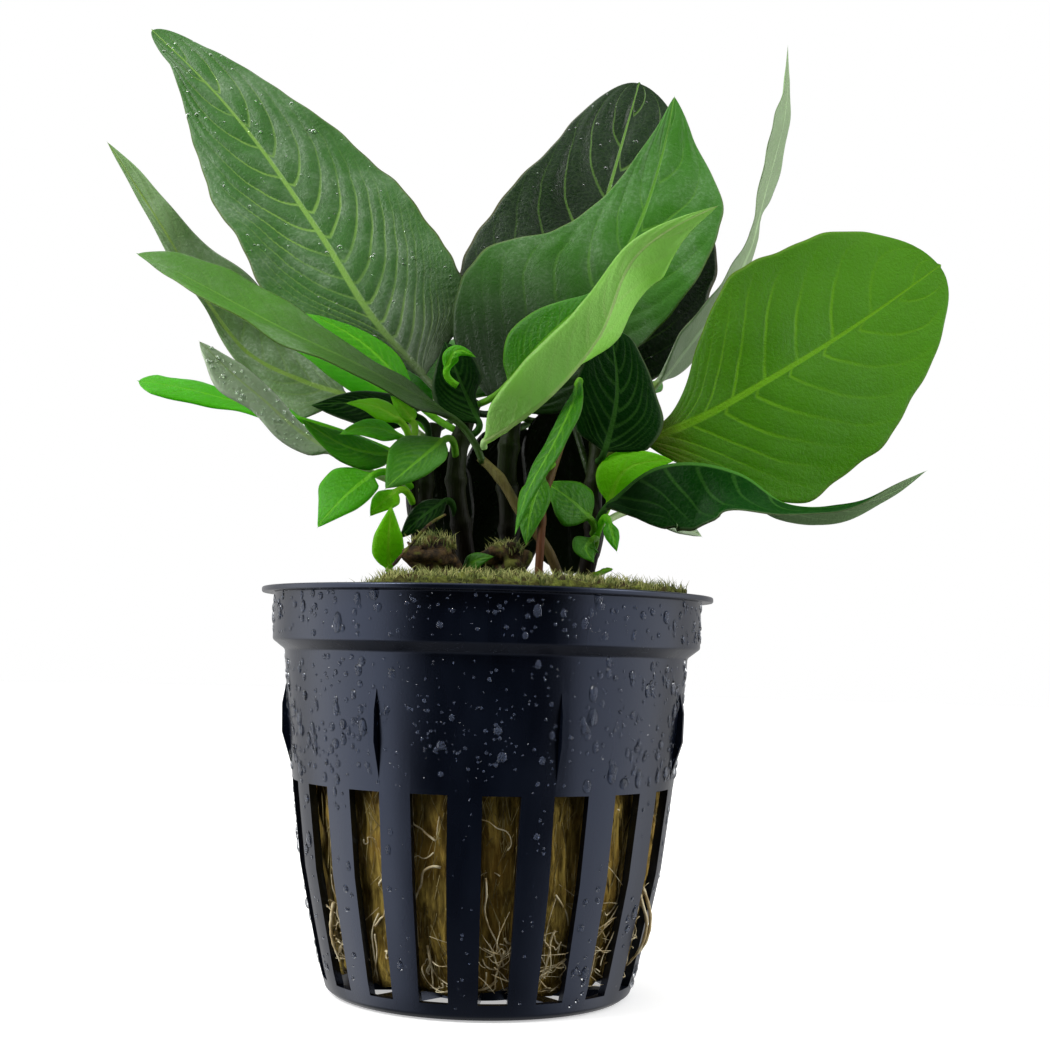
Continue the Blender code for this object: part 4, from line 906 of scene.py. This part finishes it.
def leaf_piece(leaf, surface):
    """Closed shell of one leaf: rings along the stalk and the blade, drawn in to a point at the tip."""
    widest = max(*leaf.left, *leaf.right)
    rows = int(np.clip(leaf.length / GRID_STEP, *ROW_LIMITS))
    half_columns = int(np.clip(widest / GRID_STEP, *COLUMN_LIMITS))
    across = np.linspace(-1, 1, 2 * half_columns + 1)
    shares = np.append(np.linspace(0, 1, rows + 1)[:-1], 1 - TIP_ROWS / rows)
    points, distance, width = blade_grid(leaf, shares, across)
    normal = unit(np.cross(np.gradient(points, axis=1), np.gradient(points, axis=0)))
    veins, spacing = vein_count(leaf, shares, across)
    points = points + normal * blade_relief(leaf, shares, across, veins, spacing, distance)[..., None]

    grown = smooth(shares / BLADE_START)[:, None]
    edge = np.sqrt(np.clip((1 - np.abs(across))[None, :] * width / MARGIN_ROUNDING, 0, 1))
    round_part = PETIOLE_RADIUS * np.sqrt(1 - across**2)[None, :] * (1 - grown)
    thin_part = BLADE_HALF_THICKNESS * edge * grown * np.minimum(1.0, (1 - shares[:, None]) * 12)
    thickness = round_part + thin_part
    rib_width = np.interp(widest, *RIB_WIDTHS) * (1.15 - shares)[:, None]
    ridge = 0.4 * rib_width * np.exp(-(distance / rib_width)**2) * grown
    top = points + normal * (thickness + 0.25 * ridge)[..., None]
    low = points - normal * (thickness + ridge)[..., None]
    rings = np.concatenate([stalk_rings(leaf, across), np.concatenate([top, low[:, -2:0:-1]], axis=1)])

    tip = points[-1, half_columns] + TIP_REACH * unit(leaf.midrib[-1] - leaf.midrib[-2])
    vertices = np.vstack([rings.reshape(-1, 3), tip])
    count = rings.shape[1]
    last = (len(rings) - 1) * count
    faces = ring_faces(count, len(rings), end_cap=False)
    faces += [[last + j, last + (j + 1) % count, len(vertices) - 1] for j in range(count)]

    inner_columns = len(across) - 2
    under = np.concatenate([[0.5], np.zeros(inner_columns), [0.5], np.ones(inner_columns)])
    vein_marks = [around_ring(values) for values in (veins, distance / rib_width, spacing)]
    blade_marks = np.broadcast_arrays(around_ring(across)[None, :], under[None, :], shares[:, None])
    marks = {
        "veins": whole_marks(np.stack(vein_marks, -1), (0.5, 0, 3)),
        "blade": whole_marks(np.stack(blade_marks, -1), (0, 0, 0)),
    }
    slot = "leaf_" + TONE_SLOTS.get(leaf.tone, leaf.tone)
    add_piece(leaf.name + "_leaf", vertices, faces, surface, slot, (leaf.name,), marks)


# Pot

def turned(profile, steps):
    """Vertices and faces of a closed solid of revolution about Z."""
    turns = circle(steps)
    x = profile[:, :1] * np.cos(turns)
    y = profile[:, :1] * np.sin(turns)
    z = np.repeat(profile[:, 1:], steps, 1)
    return np.stack([x, y, z], -1).reshape(-1, 3), ring_faces(steps, len(profile))


def prism(outline, low, high):
    """Vertices and faces of an upright prism over a flat outline."""
    vertices = [(x, y, z) for z in (low, high) for x, y in outline]
    return np.array(vertices), ring_faces(len(outline), 2)


def slot_shapes():
    """Tapered boxes through the wall, one for each slot."""
    near, far = FLOOR_RING_RADIUS + 0.4, RIM_RADIUS
    shapes = []
    for k in range(SLOTS):
        vertices = []
        for height, half in ((SLOT_BOTTOM, SLOT_HALF_BOTTOM), (SLOT_TOP, SLOT_HALF_TOP)):
            for radius, side in ((near, -half), (far, -half), (far, half), (near, half)):
                vertices.append(beside(radius, slot_angle(k), side, height))
        shapes.append((np.array(vertices), ring_faces(4, 2)))
    return gathered(shapes)


def floor_shapes():
    """Openings of the floor between the spokes."""
    period = 360 / FLOOR_OPENINGS
    inner = (FLOOR_DISC_RADIUS, np.linspace(-1, 1, 7))
    outer = (FLOOR_RING_RADIUS, np.linspace(1, -1, 13))
    shapes = []
    for k in range(FLOOR_OPENINGS):
        middle = FIRST_SLOT_ANGLE + 180 / SLOTS + k * period
        outline = []
        for radius, turns in (inner, outer):
            half = period / 2 - np.degrees(FLOOR_SPOKE / 2 / radius)
            outline += [around(radius, middle + turn * half) for turn in turns]
        shapes.append(prism(outline, -1.0, FLOOR_THICKNESS + 0.4))
    return gathered(shapes)


def fin_shapes():
    """Small upright ribs on the outside of the pot."""
    shapes = []
    for k in range(FINS):
        angle = FIRST_FIN_ANGLE + k * 360 / FINS
        vertices = []
        for side in (-FIN_THICKNESS / 2, FIN_THICKNESS / 2):
            vertices += [beside(radius, angle, side, height) for radius, height in FIN_SIDE]
        shapes.append((np.array(vertices), ring_faces(len(FIN_SIDE), 2)))
    return gathered(shapes)


def plain_object(name, vertices, faces):
    mesh = new_mesh(name, vertices, faces)
    shape = bmesh.new()
    shape.from_mesh(mesh)
    bmesh.ops.recalc_face_normals(shape, faces=shape.faces)
    shape.to_mesh(mesh)
    shape.free()
    return placed(name, mesh)


def rounded(profile):
    """The profile with each corner drawn round, where its sides are long enough."""
    profile = np.asarray(profile, float)
    made = [profile[0]]
    for before, corner, after in zip(profile[:-2], profile[1:-1], profile[2:]):
        back, ahead = before - corner, after - corner
        if unit(back) @ unit(ahead) < -0.97:
            made.append(corner)
            continue
        cut = min(CORNER_RADIUS, np.linalg.norm(back) / 2, np.linalg.norm(ahead) / 2)
        start, end = corner + unit(back) * cut, corner + unit(ahead) * cut
        for u in np.linspace(0, 1, CORNER_STEPS):
            made.append((1 - u)**2 * start + 2 * u * (1 - u) * corner + u**2 * end)
    made.append(profile[-1])
    return np.array(made)


def net_pot(surface):
    outside = [*BODY, (COLLAR_RADIUS, COLLAR_BOTTOM), (COLLAR_RADIUS, RIM_HEIGHT - RIM_THICKNESS),
               (RIM_RADIUS, RIM_HEIGHT - RIM_THICKNESS), (RIM_RADIUS, RIM_HEIGHT)]
    painted_shade = [(COLLAR_RADIUS - WALL, RIM_HEIGHT), (COLLAR_RADIUS - WALL, COLLAR_BOTTOM + 0.4)]
    painted_shade += [(radius - WALL, height) for radius, height in reversed(BODY) if height > FLOOR_THICKNESS]
    painted_shade.append((float(body_radius(FLOOR_THICKNESS)) - WALL, FLOOR_THICKNESS))
    body = plain_object("pot_body", *turned(rounded(outside + painted_shade), POT_STEPS))
    tools = [("pot_fins", fin_shapes(), "UNION"), ("pot_slots", slot_shapes(), "DIFFERENCE"),
             ("pot_floor", floor_shapes(), "DIFFERENCE")]
    cutters = []
    for name, shape, operation in tools:
        cutters.append(plain_object(name, *shape))
        modifier = body.modifiers.new(name, "BOOLEAN")
        modifier.operation = operation
        modifier.solver = "EXACT"
        modifier.object = cutters[-1]
    bpy.context.view_layer.update()
    mesh = bpy.data.meshes.new_from_object(body.evaluated_get(bpy.context.evaluated_depsgraph_get()))
    for extra in (body, *cutters):
        bpy.data.objects.remove(extra, do_unlink=True)
    mesh.shade_smooth()
    mesh.set_sharp_from_angle(angle=radians(SHARP_ANGLE))
    mesh.materials.clear()
    mesh.materials.append(surface)
    pot = placed("net_pot_moulding", mesh)
    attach(pot, "root")
    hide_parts("net_pot")


# Wool, moss and roots

def ripples(rng, count, fewest, most):
    """Seeded sine waves round the plug: how many in a turn, wavelength upwards, phase."""
    return [(int(rng.integers(fewest, most)), rng.uniform(4, 30), rng.uniform(0, 2 * pi))
            for _ in range(count)]


def wool_plug(surface):
    """Plug with a rough side that swells into the slots, and a ragged underside."""
    rng = np.random.default_rng(SEED)
    coarse, fine = ripples(rng, 8, 5, 20), ripples(rng, 14, 30, 110)
    turns = circle(WOOL_STEPS)
    heights = np.linspace(WOOL_BOTTOM, WOOL_TOP, WOOL_ROWS)[:, None]
    radius = wool_radius(heights) * np.ones((1, WOOL_STEPS))
    rough = np.zeros_like(radius)
    for size, waves in ((0.10, coarse), (0.06, fine)):
        for count, length, phase in waves:
            rough += size * np.sin(count * turns + heights * 2 * pi / length + phase)
    offset = np.radians(from_slot(np.degrees(turns) + 90)) * radius
    opening = smooth((2.0 - np.abs(offset)) / 0.6) * smooth((SLOT_TOP - 0.3 - heights) / 1.5)
    radius = radius - WOOL_INSET + rough + WOOL_BULGE * opening
    ragged = RAGGED_EDGE * np.clip(rough[:1] * 2, -1, 1) * np.exp(-(heights - WOOL_BOTTOM) / 1.5)
    points = np.stack([radius * np.cos(turns), radius * np.sin(turns), heights + ragged], -1)
    faces = ring_faces(WOOL_STEPS, WOOL_ROWS)
    add_piece("rock_wool", points.reshape(-1, 3), faces, surface, "rock_wool", ("rock_wool_plug",))


def moss_height(x, y):
    out = np.sqrt(x * x + y * y) / MOSS_RADIUS
    left = smooth((-x - 11) / 6)
    bumps = 0.25 * np.sin(0.9 * x) * np.cos(0.8 * y) * np.clip(4 * out - 0.8, 0, 1)
    return MOSS_TOP + MOSS_CROWN - MOSS_FALL * out**2 - LEFT_DIP * left + bumps


def moss_piece(surface):
    """Mat with a lumpy top, and a plain side and underside inside the pot."""
    rng = np.random.default_rng(SEED + 1)
    turns = circle(MOSS_STEPS)
    radii = np.linspace(MOSS_RADIUS, 0.6, MOSS_ROWS)[:, None]
    x, y = radii * np.cos(turns), radii * np.sin(turns)
    lumps = np.zeros_like(x)
    for _ in range(MOSS_LUMPS):
        angle, length, phase = rng.uniform(0, 2 * pi), rng.uniform(0.8, 3.5), rng.uniform(0, 2 * pi)
        lumps += 0.05 * length**0.5 * np.sin((x * cos(angle) + y * sin(angle)) * 2 * pi / length + phase)
    top = np.stack([x, y, moss_height(x, y) + lumps], -1)
    low = np.stack([x[0], y[0], np.full(MOSS_STEPS, WOOL_TOP + GAP)], -1)
    vertices = np.vstack([low, top.reshape(-1, 3)])
    add_piece("moss_top", vertices, ring_faces(MOSS_STEPS, MOSS_ROWS + 1), surface, "moss", ("moss_mat",))


def moss_blades(surface):
    """Fine shoots standing in the moss, each a thin closed spike that bends over."""
    rng = np.random.default_rng(SEED + 2)
    heaps = list(DEBRIS.values())
    shapes = []
    for k in range(MOSS_BLADES):
        radius, turn = MOSS_RADIUS * rng.uniform(0.05, 1)**0.5, rng.uniform(0, 2 * pi)
        x, y = radius * cos(turn), radius * sin(turn)
        z = moss_height(x, y)
        if k < DEBRIS_BLADES * len(heaps):
            centre, sizes = heaps[k % len(heaps)]
            reach = 0.9 * rng.random()**0.5
            x, y = centre[0] + sizes[0] * reach * cos(turn), centre[1] + sizes[1] * reach * sin(turn)
            z = centre[2] + 0.85 * sizes[2] * (1 - reach * reach)**0.5
        length = rng.uniform(0.5, 1.6) * (1.25 if rng.random() < 0.15 else 1)
        lean = rng.normal(0, 0.45, 2) * length
        if x * x + y * y > 23**2:
            lean *= 0.6
        foot = np.array((x, y, z - 0.2))
        middle = foot + (*(lean * 0.35), length * 0.6)
        tip = foot + (*lean, length)
        width = rng.uniform(0.045, 0.085)
        shapes.append(tube([foot, middle, tip], (width, width * 0.75, width * 0.1), 3))
    add_piece("moss_shoots", *gathered(shapes), surface, "moss")


def lump(centre, sizes, rng, subdivisions=2, roughness=0.25):
    """Rough pebble-like shape."""
    shape = bmesh.new()
    bmesh.ops.create_icosphere(shape, subdivisions=subdivisions, radius=1.0)
    points = np.array([vertex.co for vertex in shape.verts])
    faces = [[vertex.index for vertex in face.verts] for face in shape.faces]
    shape.free()
    swelling = np.ones(len(points))
    for _ in range(10):
        axis = unit(rng.normal(size=3)) * rng.uniform(2, 9)
        swelling += roughness * 0.25 * np.sin(points @ axis + rng.uniform(0, 2 * pi))
    return np.asarray(centre) + points * swelling[:, None] * np.asarray(sizes), faces


def soil_crumbs(surface):
    rng = np.random.default_rng(SEED + 3)
    shapes = []
    for _ in range(SOIL_CRUMBS):
        radius, turn = rng.uniform(6, 25), rng.uniform(0, 2 * pi)
        x, y = radius * cos(turn), radius * sin(turn)
        shapes.append(lump((x, y, moss_height(x, y) + 0.15), rng.uniform(0.2, 0.7, 3), rng))
    add_piece("soil_crumbs", *gathered(shapes), surface, "old_stem")


def debris_piece(name, surface):
    """Base of an old stem: a rough lump with short stubs."""
    centre, sizes = DEBRIS[name]
    rng = np.random.default_rng(SEED + len(name))
    shapes = [lump(centre, np.array(sizes) * 0.9, rng, 4, 0.5)]
    for _ in range(14):
        turn, lean = rng.uniform(0, 2 * pi), rng.uniform(0.2, 0.9)
        foot = np.array(centre) + np.array(sizes) * (0.7 * cos(turn), 0.7 * sin(turn), 0.1)
        tip = foot + np.array((lean * cos(turn), lean * sin(turn), 1.0)) * rng.uniform(0.5, 1.3)
        shapes.append(tube(np.linspace(foot, tip, 4), (0.3, 0.26, 0.22, 0.12), 7))
    add_piece(name + "_crust", *gathered(shapes), surface, "old_stem", (name,))


def twig_piece(surface):
    radius, points = TWIG
    bark = tube(evenly_along(points, 40), radius * np.linspace(1, 0.7, 40), 10)
    add_piece("twig_bark", *bark, surface, "old_stem", ("twig",))


def stem_piece(name, surface):
    """Stem that is thinner towards its top and thicker at its joints."""
    radius, points = STEMS[name]
    shares = np.linspace(0, 1, 70)
    centres = along_curve(points, shares)[0]
    foot = np.linspace((points[0][0], points[0][1], WOOL_TOP - PLANTING_DEPTH), centres[0], 8)[:-1]
    thick = np.full(len(shares), radius) * np.interp(shares, (0.6, 1), (1, 0.85))
    for height in np.arange(FIRST_JOINT, LAST_JOINT, JOINT_SPACE):
        thick *= 1 + 0.22 * np.exp(-((centres[:, 2] - height) / 0.7)**2)
    radii = np.concatenate([np.full(len(foot), radius), thick])
    add_piece(name + "_shoot", *tube(np.vstack([foot, centres]), radii, 20), surface, "stem", (name,))


def root_piece(name, surface):
    radius, points = ROOTS[name]
    line = [(*around(out, angle), height) for out, angle, height in points]
    shares = np.linspace(0, 1, 40)
    radii = radius * np.interp(shares, (0, 0.7, 1), (1, 0.9, 0.4)) * (1 + 0.12 * np.sin(shares * 40))
    add_piece(name + "_strand", *tube(evenly_along(line, 40), radii, 10), surface, "root", (name,))


def strand(points, width, steps, sides):
    """Thin root through the points, half as thick at its end."""
    return tube(evenly_along(points, steps), width * np.linspace(1, 0.5, steps), sides)


def slot_root(rng, middle):
    """Pale curly root over the wool, within one slot."""
    height = rng.uniform(4, 13) if rng.random() < 0.75 else rng.uniform(12, 25)
    angle = middle + rng.uniform(-4, 4)
    turn, rise = rng.uniform(-3, 3), rng.uniform(-2.4, 1.0)
    points = []
    for _ in range(int(rng.integers(4, 8))):
        points.append((*around(wool_radius(height) + rng.uniform(0.15, 0.75), angle), max(height, 3.4)))
        angle = min(max(angle + turn, middle - 6), middle + 6)
        height += rise
        turn, rise = turn + rng.uniform(-2.5, 2.5), rise + rng.uniform(-0.9, 0.9)
    return strand(points, rng.uniform(0.07, 0.17), 26, 6)


def tangle_root(rng, angle, height, size):
    """Finer root that wanders over the wool near one spot."""
    angle, height = angle + rng.normal(0, 2.2 * size), height + rng.normal(0, size)
    turn, rise = rng.uniform(-4, 4), rng.uniform(-1, 1)
    points = []
    for _ in range(5):
        height = max(height, WOOL_BOTTOM)
        points.append((*around(wool_radius(height) + rng.uniform(0.3, 1.5), angle), height))
        angle += turn
        height += rise
        turn, rise = turn + rng.uniform(-4.5, 4.5), rise + rng.uniform(-1.6, 1.6)
    return strand(points, rng.uniform(0.035, 0.085), 22, 5)


def fine_roots(surface):
    """Roots over the wool, seen through the slots."""
    rng = np.random.default_rng(SEED + 4)
    shapes = []
    for k in range(SLOTS):
        shapes += [slot_root(rng, slot_angle(k)) for _ in range(int(rng.integers(5, 10)))]
    for angle, height, count, size in TANGLES:
        shapes += [tangle_root(rng, angle, height, size) for _ in range(count)]
    add_piece("fine_roots", *gathered(shapes), surface, "root")


def wool_fibres(surface):
    """Loose fibres that lie on the wool, mostly upright."""
    rng = np.random.default_rng(SEED + 5)
    shapes = []
    for _ in range(WOOL_FIBRES):
        angle = slot_angle(int(rng.integers(0, SLOTS))) + rng.uniform(-6, 6)
        height, length, drift = rng.uniform(3.5, 24), rng.uniform(1.5, 5), rng.normal(0, 2.5)
        points = []
        for u in (0, 0.5, 1):
            z = min(height + u * length, 26)
            points.append((*around(wool_radius(z) + rng.uniform(0.1, 0.5), angle + drift * u), z))
        shapes.append(tube(evenly_along(points, 7), np.full(7, rng.uniform(0.03, 0.06)), 3))
    add_piece("wool_fibres", *gathered(shapes), surface, "rock_wool")


# Water beads

def bead(place, normal, radius, tall, run=1.0):
    """Low dome of water that sits on a surface; run stretches it downhill."""
    normal = unit(normal)
    side = unit(np.cross(normal, (0.31, 0.2, 0.93)))
    other = np.cross(normal, side)
    turns = circle(BEAD_SIDES)
    outward = np.outer(np.cos(turns), side) + np.outer(np.sin(turns), other)
    points = np.vstack([place + normal * lift * radius * tall + radius * spread * outward
                        for lift, spread in BEAD_RINGS])
    if run != 1.0:
        low = np.array((0.0, 0.0, -1.0))
        low = unit(low - normal * (low @ normal))
        offset = (points - place) @ low
        points = points + np.outer(np.where(offset > 0, offset * (run - 1) * 0.3, offset * (run - 1)), low)
    return points, ring_faces(BEAD_SIDES, len(BEAD_RINGS))


def pot_beads(surface):
    """Beads on the outside of the pot: fewer between the slots, none in them or at the collar's lower edge."""
    rng = np.random.default_rng(SEED + 6)
    shapes = []
    tries = 0
    while len(shapes) < POT_BEADS and tries < POT_BEAD_TRIES:
        tries += 1
        angle, height = rng.uniform(-180, 180), rng.uniform(1.0, 48.4)
        if height < SLOT_TOP + 1:
            half = np.interp(height, (SLOT_BOTTOM, SLOT_TOP), (SLOT_HALF_BOTTOM, SLOT_HALF_TOP)) + SLOT_MARGIN
            on_slot = abs(radians(from_slot(angle))) * body_radius(height) < half
            if on_slot or rng.random() < SKIPPED_BETWEEN_SLOTS:
                continue
        if BARE_BAND[0] < height < BARE_BAND[1]:
            continue
        size = rng.lognormal(-1.35, 0.5)
        if abs(angle) < CALM_ANGLE:
            size *= CALM_SHARE
        if size > LARGEST_BEAD:
            continue
        on_collar = height > COLLAR_BOTTOM
        reach, lean = (COLLAR_RADIUS, 0.0) if on_collar else (body_radius(height), -0.13)
        place, normal = np.array((*around(reach, angle), height)), (*around(1.0, angle), lean)
        run = rng.uniform(1.3, 2.2) if size > 0.34 and rng.random() < 0.5 else 1.0
        shapes.append(bead(place, normal, size, rng.uniform(0.34, 0.5), run))
    add_piece("water_beads_pot", *gathered(shapes), surface)


def leaf_beads(surface):
    """Small beads on the upper faces of some leaves."""
    rng = np.random.default_rng(SEED + 7)
    shapes = []
    for leaf in LEAVES:
        for _ in range(LEAF_BEADS.get(leaf.name, 0)):
            shares = rng.uniform(0.12, 0.95) + np.array((-0.01, 0, 0.01))
            across = rng.uniform(-0.95, 0.95) + np.array((-0.02, 0, 0.02))
            points, distance, _ = blade_grid(leaf, shares, across)
            veins, spacing = vein_count(leaf, shares, across)
            normal = unit(np.cross(points[1, 2] - points[1, 0], points[2, 1] - points[0, 1]))
            relief = blade_relief(leaf, shares, across, veins, spacing, distance)[1, 1]
            place = points[1, 1] + normal * (relief + BLADE_HALF_THICKNESS)
            size = min(rng.lognormal(-1.9, 0.4), LARGEST_LEAF_BEAD)
            shapes.append(bead(place, normal, size, 0.75))
    add_piece("water_beads_leaves", *gathered(shapes), surface)


# Stage

def camera():
    pitch, yaw, roll = radians(CAMERA_PITCH), radians(CAMERA_YAW), radians(CAMERA_ROLL)
    forward = np.array((sin(yaw) * cos(pitch), cos(yaw) * cos(pitch), sin(pitch)))
    level = np.array((cos(yaw), -sin(yaw), 0.0))
    upright = np.cross(level, forward)
    right = level * cos(roll) + upright * sin(roll)
    up = upright * cos(roll) - level * sin(roll)
    turn = Matrix(np.column_stack([right, up, -forward]).tolist()).to_4x4()
    data = bpy.data.cameras.new("camera")
    data.sensor_width = SENSOR
    data.lens = FOCAL_PIXELS / PHOTO_WIDTH * SENSOR
    data.clip_start = 0.01
    data.clip_end = 10
    eye = placed("camera", data)
    eye.matrix_world = Matrix.Translation([value * MM for value in CAMERA_PLACE]) @ turn
    bpy.context.scene.camera = eye


def soft_light(name, place, size, power):
    """Round lamp that faces the plant."""
    data = bpy.data.lights.new(name, "AREA")
    data.shape = "DISK"
    data.size = size
    data.energy = power
    back = unit(np.subtract(place, LAMP_TARGET))
    side = unit(np.cross((0.02, 0.01, 1.0), back))
    turn = Matrix(np.column_stack([side, np.cross(back, side), back]).tolist()).to_4x4()
    placed(name, data).matrix_world = Matrix.Translation(place) @ turn


def floor_disc():
    mesh = bpy.data.meshes.new("floor")
    shape = bmesh.new()
    bmesh.ops.create_circle(shape, cap_ends=True, segments=96, radius=FLOOR_RADIUS)
    shape.to_mesh(mesh)
    shape.free()
    mesh.materials.append(floor_surface())
    floor = placed("floor", mesh)
    floor.location = (0, 0, -FLOOR_DROP)
    floor.visible_glossy = False
    floor.visible_diffuse = False


def surroundings():
    """Studio light: white to look at, bright panels at both sides, dark towards the photographer."""
    world = bpy.data.worlds.new("studio")
    bpy.context.scene.world = world
    world.use_nodes = True
    sky = Nodes(world.node_tree)
    ray = sky.split(sky.node("TexCoord").outputs["Generated"])
    level = sky.node("CombineXYZ", {0: ray[0], 1: ray[1]}).outputs[0]
    side, depth, _ = sky.split(sky.node("VectorMath", {0: level}, operation="NORMALIZE").outputs[0])
    panels = sky.between(depth, -0.78, -0.5, FRONT_GLOW, PANEL_GLOW)
    panels = sky.blend(sky.between(depth, 0.2, 0.7), panels, BACK_GLOW)
    panels = sky.times(panels, sky.between(side, -0.4, 0.4, LEFT_SHARE, RIGHT_SHARE))
    top = sky.between(ray[0], -0.35, 0.35, TOP_GLOW, TOP_GLOW * TOP_FADE)
    glow = sky.blend(sky.between(ray[2], 0.5, 0.8), panels, top)
    glow = sky.blend(sky.between(ray[2], -0.8, -0.45, 1.0, 0.0), glow, FLOOR_GLOW)
    glow = sky.blend(sky.node("LightPath").outputs["Is Camera Ray"], glow, 1.0)
    background = world.node_tree.nodes["Background"]
    sky.set(background, "Strength", glow)
    sky.set(background, "Color", (1.0, 1.0, 1.0))
    bpy.context.scene.view_settings.view_transform = "Standard"


def all_leaves():
    skins = {tone: leaf_surface(tone) for tone in TONES}
    for leaf in LEAVES:
        leaf_piece(leaf, skins[leaf.tone])


def pot_and_moss():
    net_pot(plastic_surface())
    wool_plug(wool_surface())
    moss_piece(moss_surface())
    moss_blades(fibre_surface("moss_shoot", (0.42, 0.42, 0.14), (0.07, 0.11, 0.012), 0.7))
    old = debris_surface()
    soil_crumbs(old)
    for name in DEBRIS:
        debris_piece(name, old)
    twig_piece(old)


def all_stems():
    brown = stem_surface("stem_brown", (0.10, 0.105, 0.025), (0.085, 0.060, 0.022))
    # near-black green: the stems' own green, darkened as painted shade for the middle of the plant
    painted_shade_green = stem_surface("stem_green", (0.012, 0.022, 0.003), (0.006, 0.004, 0.0015))
    red = stem_surface("stem_reddish", (0.085, 0.070, 0.020), (0.09, 0.035, 0.015))
    for name in STEMS:
        stem_piece(name, {"stem_red": red, "stem_front": brown}.get(name, painted_shade_green))


def roots_and_fibres():
    root = fibre_surface("root_skin", (0.72, 0.64, 0.42), (0.40, 0.30, 0.14))
    for name in ROOTS:
        root_piece(name, root)
    fine_roots(root)
    wool_fibres(fibre_surface("wool_fibre", (0.46, 0.38, 0.16), (0.14, 0.10, 0.03), 0.8))


def main():
    all_leaves()
    pot_and_moss()
    all_stems()
    roots_and_fibres()
    water = water_surface()
    pot_beads(water)
    leaf_beads(water)
    camera()
    floor_disc()
    for name, (place, size, power) in LAMPS.items():
        soft_light(name, place, size, power)
    surroundings()


main()
